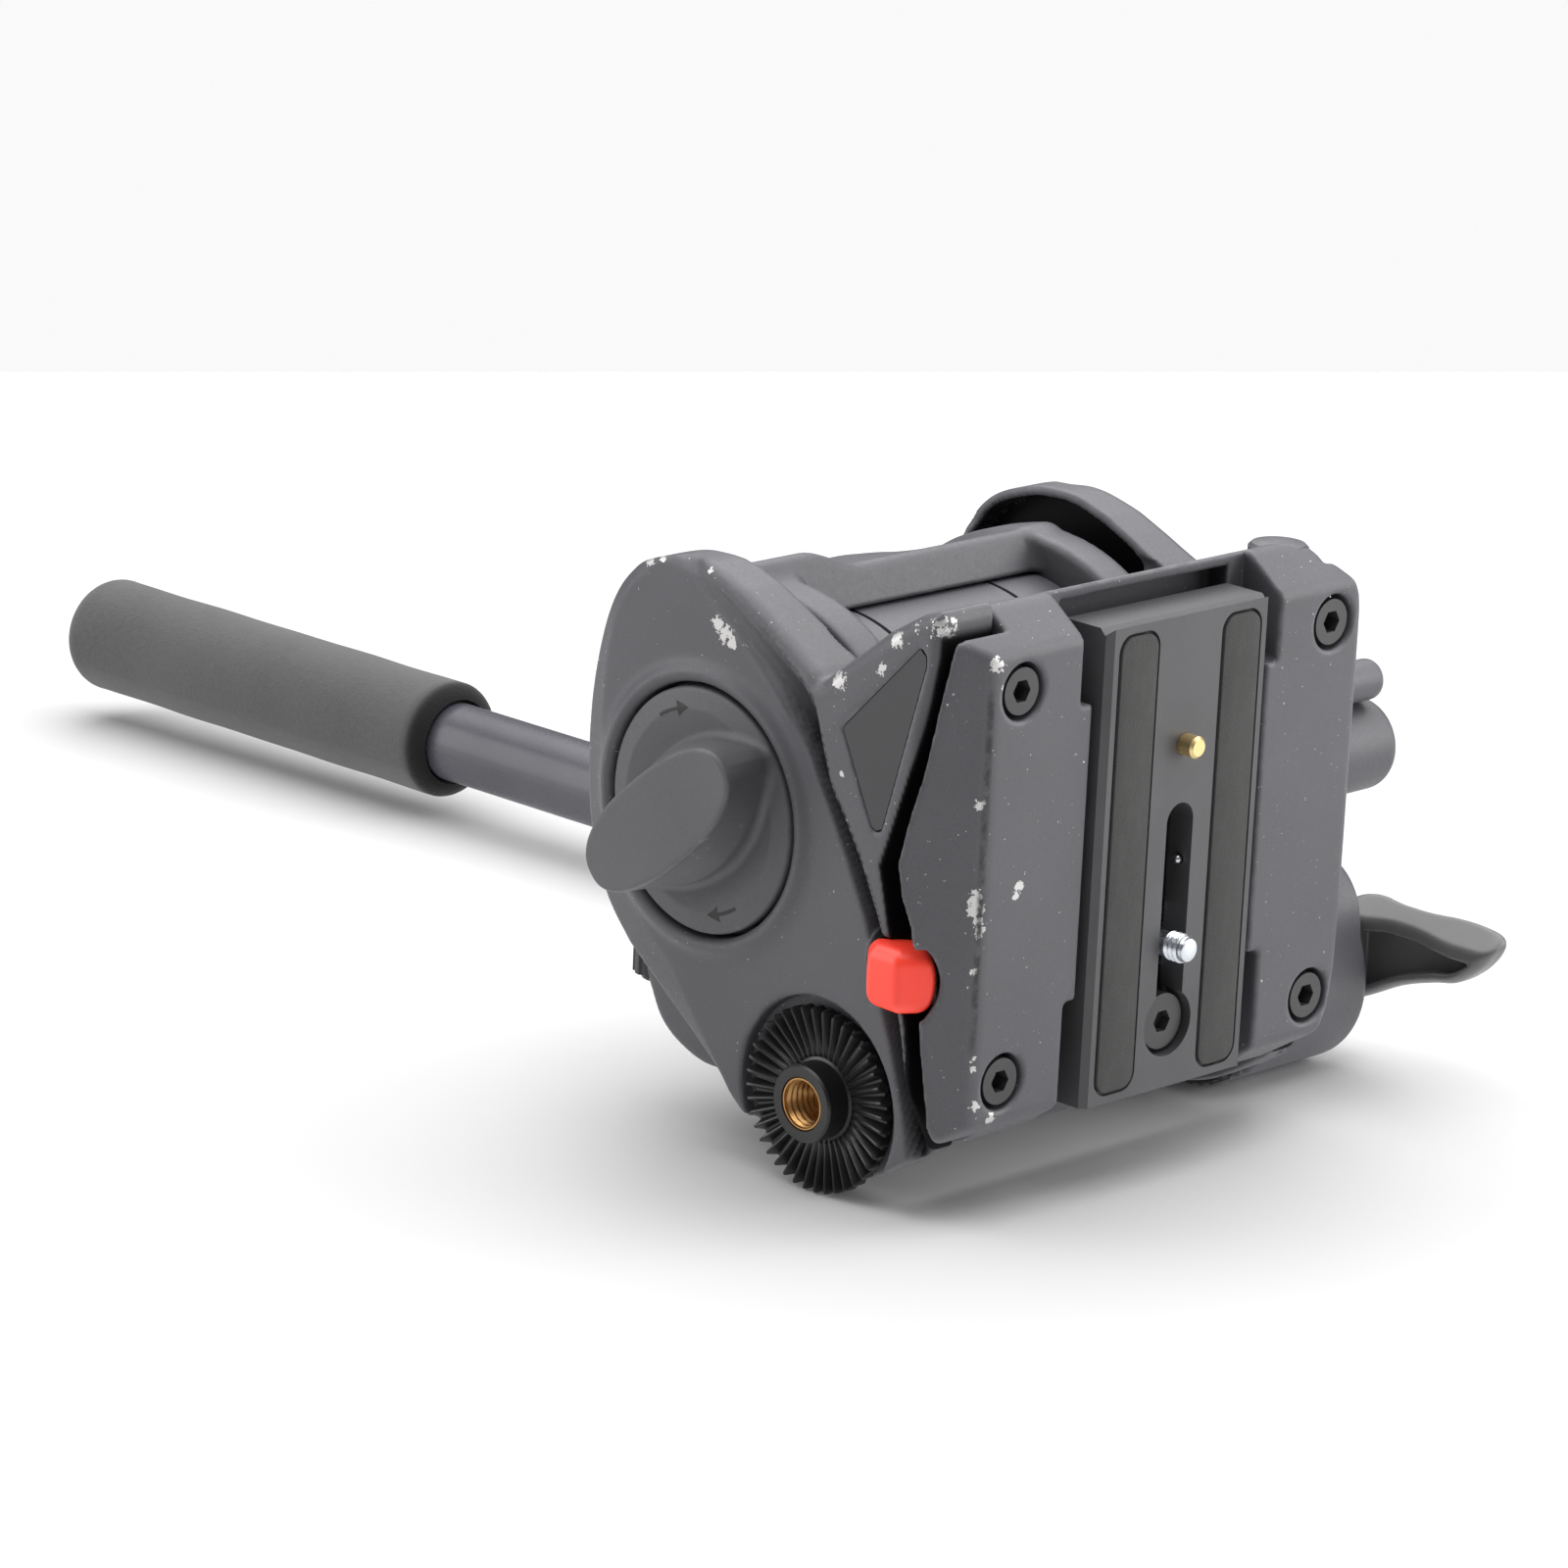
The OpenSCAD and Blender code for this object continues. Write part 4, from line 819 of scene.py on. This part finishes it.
def clamp():
    F = Field((-96.2, -31, -53.4), (-61.0, 21.6, 21.6), 0.6)
    X, Y, Z = F.X, F.Y, F.Z
    rho = np.hypot(Y, Z)
    th = np.arctan2(Z, Y)
    ph = (th / (2 * math.pi) * 40 + 0.5) % 1.0
    tooth = 1.6 * np.clip(1.15 - 2.3 * np.abs(ph - 0.5), 0, 1) * step((rho - 10.4) / 2) * step((19.8 - rho) / 0.8)
    hub = rmax(rho - 20.4 + 0 * X, -95 - X + 0 * Y + 0 * Z, 2.4)
    hub = rmax(hub, (X + 63.4 - tooth) * 0.7, 0.5)
    nose = np.minimum(np.hypot(Y + 15.5, Z - 5) - 14, np.hypot(Y + 4, Z - 2) - 16)
    nose = rmin(np.hypot(Y + 15.5, Z - 5) - 14, np.hypot(Y + 4, Z - 2) - 16, 6)
    nose = rmax(nose + 0 * X, slab(X, -93, -67.5) + 0 * Y, 2.2)
    sock = rmax(np.hypot(X + 82, Y - 4.8) - 14 + 0 * Z, slab(Z, -52, -4) + 0 * X, 1.6)
    f = rmin(rmin(hub, nose, 2.5), sock, 3.5)
    f = np.maximum(f, -94.99 - X)
    f = cut(f, np.maximum(np.hypot(X + 82, Y - 4.8) - 10.02, Z + 12), 0.5)
    f = cut(f, rho - 4.8 + 0 * X, 0.3)
    f = cut(f, np.maximum(np.maximum(np.abs(X + 82) - 0.8, 4.8 - Y), Z + 13), 0.3)
    f = cut(f, np.maximum(rho - 9, -66 - X), 0.3)
    v, fc = F.mesh(f)
    return bar_frame(v), fc


o = make("bar_clamp_look", *clamp(), m_cast, "pan_bar", ["bar_clamp"], "cast_grey")


def wing():
    F = Field((-107.4, -22, -11), (-94.6, 11, 52), 0.5)
    X, Y, Z = F.X, F.Y, F.Z
    P = cat([(-9, 1), (-15.5, 6), (-19, 14), (-19.3, 32), (-18.5, 46), (-15.8, 50.2), (-10.5, 47.5), (-5.4, 41), (-3.4, 34), (0, 24), (5, 14), (9, 4), (8, -6), (0, -9.4), (-7, -7)], 6, True)
    w = poly([tuple(p) for p in P], Y, Z)
    thin = 1.3 * step((Z - 12) / 10) * step((40 - Z) / 14)
    blade = rmax(w + 0 * X, slab(X, -106.6, -98.6) + thin, 2.6)
    roof = (0.7 * (X + 106.6) - 19.3 - Y) / 1.22 + 0 * Z
    blade = rmax(blade, roof, 1.0)
    blade = cut(blade, np.maximum(np.maximum(w + 2.4 + 0 * X, roof + 2.6), np.maximum(-102.2 - X, 13 - Z)), 0.8)
    hub = rmax(np.hypot(Y, Z) - 9.4 + 0 * X, slab(X, -105.5, -95.4) + 0 * Y, 0.9)
    f = rmin(blade, hub, 1.5)
    f = np.maximum(f, -106.6 - X)
    f = cut(f, np.maximum(np.hypot(Y, Z) - 4.76, -102 - X), 0.2)
    v, fc = F.mesh(f)
    return v + np.array([0, ROS[0], ROS[1] + 46]), fc


o = make("wing_lever_look", *wing(), m_lever, "clamp_lever", ["wing_lever"], "black_plastic")


def lock_lever():
    F = Field((-88.8, -22.4, -12), (-58.8, 12, 12), 0.5)
    X, Y, Z = F.X, F.Y, F.Z
    r = np.hypot(Y, Z)
    hub = rmax(r - 10.4 + 0 * X, -(X + 88) + 0 * Y + 0 * Z, 3.2)
    hub = rmax(hub, X + 60 + 0 * Y + 0 * Z, 0.5)
    arm = rmin(r - 7, np.hypot(Y + 15.6, Z - 3.2) - 4.4, 7)
    arm = rmax(arm + 0 * X, slab(X, -66, -60) + 0 * Y, 1.0)
    tab = rmin(np.hypot(Y + 15.6, Z - 3.2) - 4.6, np.hypot(Y + 14.6, Z + 1) - 3.4, 1.0)
    tab = rmax(tab + 0 * X, slab(X, -84.4, -60) + 0 * Y, 1.8)
    f = rmin(rmin(hub, arm, 1.2), tab, 1.2)
    f = cut(f, np.maximum(r - 4, -76 - X), 0.1)
    v, fc = F.mesh(f)
    return v + np.array([0, -4, 57 + 46]), fc


o = make("lock_lever_look", *lock_lever(), m_cast, "plate_lock", ["lock_lever"], "cast_grey")


def grip():
    R, L = 14.9, 143.0
    pts = [(0.0, 0.0)]
    for i in range(13):
        a = math.radians(90 * i / 12)
        pts.append((8 - 8 * math.cos(a), R - 10 + 10 * math.sin(a)))
    for i in range(1, 61):
        z = 8 + (L - 12) * i / 60
        pts.append((z, R - 0.12 + 0.1 * math.sin(z * 0.17) * math.sin(z * 0.041)))
    for i in range(1, 9):
        a = math.radians(90 * i / 8)
        pts.append((L - 4 + 4 * math.sin(a), R - 4 + 4 * math.cos(a)))
    pts += [(L - 0.2, 11.3), (L - 2.0, 10.9), (L - 2.0, 10.0), (12.0, 10.0), (12.0, 0.0)]
    v, f = lathe(pts, 96, "z", (-82, 4.8, -412.9))
    # painted shade: the last few millimetres of the grip and its end face round the tube are painted dark
    return bar_frame(v), f, step((v[:, 2] + 412.9 - L + 5.4) / 3.8)


v, f, dark = grip()
o = make("bar_grip_look", v, f, m_foam, "pan_bar", ["bar_grip"], "foam", sharp=50)
# the painted shade mask is stored on the mesh
o.data.attributes.new("valley", "FLOAT", "POINT").data.foreach_set("value", dark.astype(np.float32))


# ---- rosettes, inserts and threads ------------------------------------------------------------
def rosette(x_top, boss):
    """Toothed ring: forty radial teeth, higher at the rim, round a plain boss."""
    N, per = 40, 10
    n = N * per
    radii = [5.8, 5.8, 5.9, 8.0, 8.4, 8.4, 9.0, 9.6] + list(np.linspace(10.2, 19.4, 8)) + [20.0, 20.2, 20.2, 19.4, 19.4, 5.8]
    v = []
    for j, r in enumerate(radii):
        for k in range(n):
            ph = abs((k % per) / per - 0.5) * 2
            w = min(max((ph - 0.16) / 0.62, 0), 1)
            w = 1 - w
            rr = r
            if j == 0:
                x = 57.0
            elif j in (1, 2):
                x = boss - 0.5 + 0.4 * (j - 1)
            elif j == 3:
                x = boss
            elif j == 4:
                x = boss - 0.5
            elif j in (5, 6):
                x = 58.3 if j == 6 else 58.6
            elif 7 <= j <= 15:
                lift = 0.35 + 2.05 * (r - 9.6) / 9.8
                x = 58.5 + lift * w
            elif j == 16:
                x = 58.45 + 2.3 * w
                rr = r - 0.5 * (1 - w)
            elif j == 17:
                x = 58.3 + 1.9 * w
                rr = r - 0.7 * (1 - w)
            elif j == 18:
                x = 57.6
                rr = r - 0.6 * (1 - w)
            elif j == 19:
                x = 57.2
            else:
                x = 56.52
            t = 2 * math.pi * k / n
            v.append((min(x, x_top), rr * math.cos(t), rr * math.sin(t)))
    m = len(radii)
    f = []
    for j in range(m):
        i = (j + 1) % m
        for k in range(n):
            q = (k + 1) % n
            f.append((j * n + k, i * n + k, i * n + q, j * n + q))
    return np.array(v) + np.array([0, ROS[0], ROS[1] + 46]), [q[::-1] for q in f]


v, f = rosette(64.4, 64.4)
make("left_rosette_look", v, f, m_black, "tilt", ["left_rosette"], "black_plastic", sharp=28)
v, f = rosette(61.5, 61.5)
make("right_rosette_look", v * np.array([-1, 1, 1]), [q[::-1] for q in f], m_black, "tilt", ["right_rosette"], "black_plastic", sharp=28)


def insert(x1):
    """Brass insert with its internal thread, along X."""
    v, f, n, m = thread(5.25, 4.72, 0.4, x1 - 50.2 - 0.6, 1.5875, 56, 8, True)
    parts_v, parts_f = [v], list(f)
    L = x1 - 50.2
    first = list(range(n))
    last = list(range(m * n, m * n + n))
    base = len(v)
    rings = []
    for r, z in ((5.3, 0.0), (5.8, 0.0), (5.8, L - 0.3), (5.55, L), (5.3, L)):
        ring = []
        for k in range(n):
            t = 2 * math.pi * k / n
            parts_v.append(np.array([[r * math.cos(t), r * math.sin(t), z]]))
            ring.append(base)
            base += 1
        rings.append(ring)
    chain = [first] + rings + [last]
    for a, b in zip(chain, chain[1:]):
        for k in range(n):
            j = (k + 1) % n
            parts_f.append((a[k], b[k], b[j], a[j]))
    v = np.concatenate(parts_v)
    v = v[:, [2, 0, 1]] + np.array([50.2, ROS[0], ROS[1] + 46])
    return v, parts_f


v, f = insert(64.1)
make("left_insert_look", v, f, m_bronze, "tilt", ["left_insert"], "brass", sharp=32)
v, f = insert(61.2)
make("right_insert_look", v * np.array([-1, 1, 1]), [q[::-1] for q in f], m_bronze, "tilt", ["right_insert"], "brass", sharp=32)


def camera_screw():
    """Round head under the plate, plain neck, and the quarter-inch thread that stands above it."""
    v, f, n, m = thread(2.62, 3.17, 80.2, 85.2, 1.27, 56, 10)
    parts = [v]
    faces = list(f)
    base = len(v)
    first = list(range(n))
    last = list(range(m * n, m * n + n))

    def ring(r, z):
        nonlocal base
        ids = []
        for k in range(n):
            t = 2 * math.pi * k / n
            parts.append(np.array([[r * math.cos(t), r * math.sin(t), z]]))
            ids.append(base)
            base += 1
        return ids

    def bridge(a, b):
        for k in range(n):
            j = (k + 1) % n
            faces.append((a[k], a[j], b[j], b[k]))

    chain = [ring(0.4, 70.2), ring(5.4, 70.2), ring(5.5, 69.2), ring(6.0, 69.7), ring(6.0, 71.6), ring(5.7, 71.9), ring(2.67, 71.9), first]
    for a, b in zip(chain, chain[1:]):
        bridge(a, b)
    top = [last, ring(2.45, 85.75), ring(2.2, 85.9), ring(0.3, 85.9)]
    for a, b in zip(top, top[1:]):
        bridge(a, b)
    parts.append(np.array([[0, 0, 85.9], [0, 0, 70.2]]))
    for k in range(n):
        j = (k + 1) % n
        faces.append((top[-1][k], top[-1][j], base))
        faces.append((chain[0][j], chain[0][k], base + 1))
    v = np.concatenate(parts)
    return v + np.array([0, 20.6, 46]), faces


v, f = camera_screw()
make("camera_screw_look", v, f, m_zinc, "screw", ["camera_screw"], "steel", sharp=40)


def coil(r, wire, x0, x1, turns, steps=40, sides=8):
    """A spring along its first axis."""
    n = turns * steps
    v, f = [], []
    for i in range(n + 1):
        a = 2 * math.pi * i / steps
        x = x0 + (x1 - x0) * i / n
        for k in range(sides):
            b = 2 * math.pi * k / sides
            d = r + wire * math.cos(b)
            v.append((x + wire * math.sin(b), d * math.cos(a), d * math.sin(a)))
    for i in range(n):
        for k in range(sides):
            j = (k + 1) % sides
            f.append((i * sides + k, i * sides + j, (i + 1) * sides + j, (i + 1) * sides + k))
    f.append(tuple(range(sides))[::-1])
    f.append(tuple(n * sides + k for k in range(sides)))
    return np.array(v), f


v, f = coil(2.2, 0.45, 75.6, 81.4, 4)
c = math.sqrt(0.5)
w = np.stack([c * (v[:, 0] - v[:, 2]), v[:, 1] + 19, c * (v[:, 0] + v[:, 2]) + 46], 1)
o = make("button_spring_look", w, f, m_steel, "tilt", ["button_spring"], "steel")
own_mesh(o)
v, f = coil(3.2, 0.4, 68.5, 73.7, 4)
w = np.stack([-v[:, 2], v[:, 1] - 23.3, v[:, 0] + 46], 1)
o = make("pin_spring_look", w, f, m_steel, "plate", ["pin_spring"], "steel")
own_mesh(o)


def strips():
    """Two rubber strips on the plate: flat tops with a soft edge, a little narrower than their pockets."""
    parts = []
    for x0, x1 in ((10.3, 21.4), (-21.4, -10.3)):
        rings = []
        for z, g in ((79.9, 0.0), (81.05, 0.0), (81.25, 0.08), (81.34, 0.3)):
            r = 3.4 - g
            ring = []
            for cx, cy, a0 in ((x1 - g - r, 49.6 - g - r, 0), (x0 + g + r, 49.6 - g - r, 90), (x0 + g + r, -49.1 + g + r, 180), (x1 - g - r, -49.1 + g + r, 270)):
                for k in range(9):
                    a = math.radians(a0 + 90 * k / 8)
                    ring.append((cx + r * math.cos(a), cy + r * math.sin(a), z + 46))
            rings.append(ring)
        n = len(rings[0])
        v = [q for ring in rings for q in ring]
        f = [(i * n + k, i * n + (k + 1) % n, (i + 1) * n + (k + 1) % n, (i + 1) * n + k) for i in range(len(rings) - 1) for k in range(n)]
        f.append(tuple(range(n))[::-1])
        f.append(tuple((len(rings) - 1) * n + k for k in range(n)))
        parts.append((np.array(v), f))
    return join(*parts)


make("rubber_strips_look", *strips(), m_rubber, "plate", ["rubber_strips"], "rubber", sharp=40)


# ---- CAD nodes that stay: softened edges and their own materials ----------------------------------
STAY = {
    "base_plate": (m_turned, 0.5), "tripod_insert": (m_brass, 0.3), "pan_spindle": (m_steel, 0.2), "pan_bearing": (m_steel, 0.2),
    "pan_fluid_disc": (m_bsteel, 0.2), "spindle_nut": (m_steel, 0.3), "pan_bush": (m_brass, 0.2), "tilt_cartridge": (m_turned, 0.5),
    "tilt_axle": (m_steel, 0.3), "counterbalance_spring": (m_steel, 0.0), "level_body": (m_black, 0.3), "level_vial": (m_vial, 0.0),
    "housing_screws": (m_bsteel, 0.3), "pan_lock_stud": (m_steel, 0.2), "pan_lock_knob": (m_black, 0.5), "platform_screws": (m_bsteel, 0.4),
    "cheek_bushes": (m_brass, 0.2), "badge_plate": (m_badge, 0.2), "axle_cap": (m_turned, 0.3), "front_cap": (m_turned, 0.3),
    "tilt_brake_pad": (m_brass, 0.2), "knob_bush": (m_brass, 0.2), "lock_screw": (m_steel, 0.3),
    "sliding_plate": (m_plate, 0.25), "stop_screw": (m_bsteel, 0.4), "detent_ball": (m_steel, 0.0),
    "screw_slider": (m_steel, 0.2), "video_pin": (m_brass, 0.25), "bar_tube": (m_tube, 0.3),
    "bar_plug": (m_black, 0.2), "wing_bolt": (m_steel, 0.2),
}
for name, (mat, width) in STAY.items():
    o = NODES[name]
    o.data.materials.clear()
    o.data.materials.append(mat)
    o.data.shade_smooth()
    o.data.set_sharp_from_angle(angle=math.radians(32))
    if width > 0:
        b = o.modifiers.new("edge", "BEVEL")
        b.width = width * 0.001
        b.segments = 2
        b.limit_method = "ANGLE"
        b.angle_limit = math.radians(38)
        b.use_clamp_overlap = True
        b.harden_normals = False

# ---- stage, camera and light --------------------------------------------------------------------
# The head lies on its back: the floor is behind it, facing the front.
floor_n = Vector((0.0, -math.cos(math.radians(1.5)), -math.sin(math.radians(1.5))))
floor_at = Vector((0.0, 0.0749, 0.083))
me = bpy.data.meshes.new("floor")
side = Vector((1, 0, 0))
up = floor_n.cross(side).normalized()
S = 7.0
far = floor_at + side * (-0.550) + up * math.copysign(1, up.z) * (-0.624)
along = (side * (-0.7953) + up * math.copysign(1, up.z) * (0.6063)).normalized()
near = floor_n.cross(along).normalized()
if near.z < 0:
    near = -near
me.from_pydata([tuple(far + along * a + near * b) for a, b in ((-S, 0), (S, 0), (S, S), (-S, S))], [], [(0, 1, 2, 3)])
me.update()
if me.polygons[0].normal.dot(floor_n) < 0:
    me.flip_normals()
floor = bpy.data.objects.new("floor", me)
COLL.objects.link(floor)
fm = bpy.data.materials.new("floor_white")
fm.use_nodes = True
ft = fm.node_tree
fb = ft.nodes["Principled BSDF"]
fb.inputs["Base Color"].default_value = (0.56, 0.56, 0.56, 1)
fb.inputs["Roughness"].default_value = 0.65
fb.inputs["Specular IOR Level"].default_value = 0.2
geo = ft.nodes.new("ShaderNodeNewGeometry")
clear = ft.nodes.new("ShaderNodeBsdfTransparent")
mixs = ft.nodes.new("ShaderNodeMixShader")
ft.links.new(geo.outputs["Backfacing"], mixs.inputs[0])
ft.links.new(fb.outputs[0], mixs.inputs[1])
ft.links.new(clear.outputs[0], mixs.inputs[2])
ft.links.new(mixs.outputs[0], ft.nodes["Material Output"].inputs["Surface"])
me.materials.append(fm)
floor.visible_shadow = False

cam_d = bpy.data.cameras.new("cam")
cam = bpy.data.objects.new("cam", cam_d)
COLL.objects.link(cam)
right = Vector((-0.7104, -0.0445, 0.7024))
upv = Vector((-0.1636, -0.9602, -0.2263))
back = right.cross(upv).normalized()
right.normalize()
upv = back.cross(right).normalized()
cam.matrix_world = Matrix(((right.x, upv.x, back.x, 0.998), (right.y, upv.y, back.y, -0.3891), (right.z, upv.z, back.z, 0.9944), (0, 0, 0, 1)))
cam_d.sensor_width = 36
cam_d.lens = 151.08
cam_d.clip_start = 0.05
cam_d.clip_end = 40
bpy.context.scene.camera = cam

world = bpy.data.worlds.new("world")
bpy.context.scene.world = world
world.use_nodes = True
wt = world.node_tree
wb = wt.nodes["Background"]
wb.inputs[0].default_value = (1, 1, 1, 1)
wb.inputs[1].default_value = 0.15
# the backdrop itself is pale, while the room adds little light from the viewer's side
pale = wt.nodes.new("ShaderNodeBackground")
pale.inputs[0].default_value = (1, 1, 1, 1)
pale.inputs[1].default_value = 0.95
path = wt.nodes.new("ShaderNodeLightPath")
pick = wt.nodes.new("ShaderNodeMixShader")
wt.links.new(path.outputs["Is Camera Ray"], pick.inputs[0])
wt.links.new(wb.outputs[0], pick.inputs[1])
wt.links.new(pale.outputs[0], pick.inputs[2])
wt.links.new(pick.outputs[0], wt.nodes["World Output"].inputs["Surface"])


def lamp(name, at, target, energy, size):
    d = bpy.data.lights.new(name, "AREA")
    d.energy = energy
    d.shape = "RECTANGLE"
    d.size, d.size_y = size
    l = bpy.data.objects.new(name, d)
    COLL.objects.link(l)
    l.location = at
    l.rotation_euler = (Vector(at) - Vector(target)).to_track_quat("Z", "Y").to_euler()
    return l


lamp("key", (-0.3, -1.6, -0.2), (0, 0, 0.05), 94, (3.0, 3.0))
lamp("left", (1.05, -0.5, -1.05), (0, 0, 0.05), 13, (1.2, 1.2))
lamp("right", (-1.05, -0.5, 1.05), (0, 0, 0.05), 21, (1.2, 1.2))
# a weak lamp from the floor's side stands for light thrown back by it
lamp("rear", (0.1, 1.3, 0.1), (0, 0, 0.0), 15, (1.5, 1.5))
for l in bpy.data.objects:
    if l.type == "LIGHT":
        l.visible_camera = False
bpy.context.scene.view_settings.view_transform = "Standard"
bpy.context.scene.view_settings.look = "None"

bpy.context.view_layer.update()
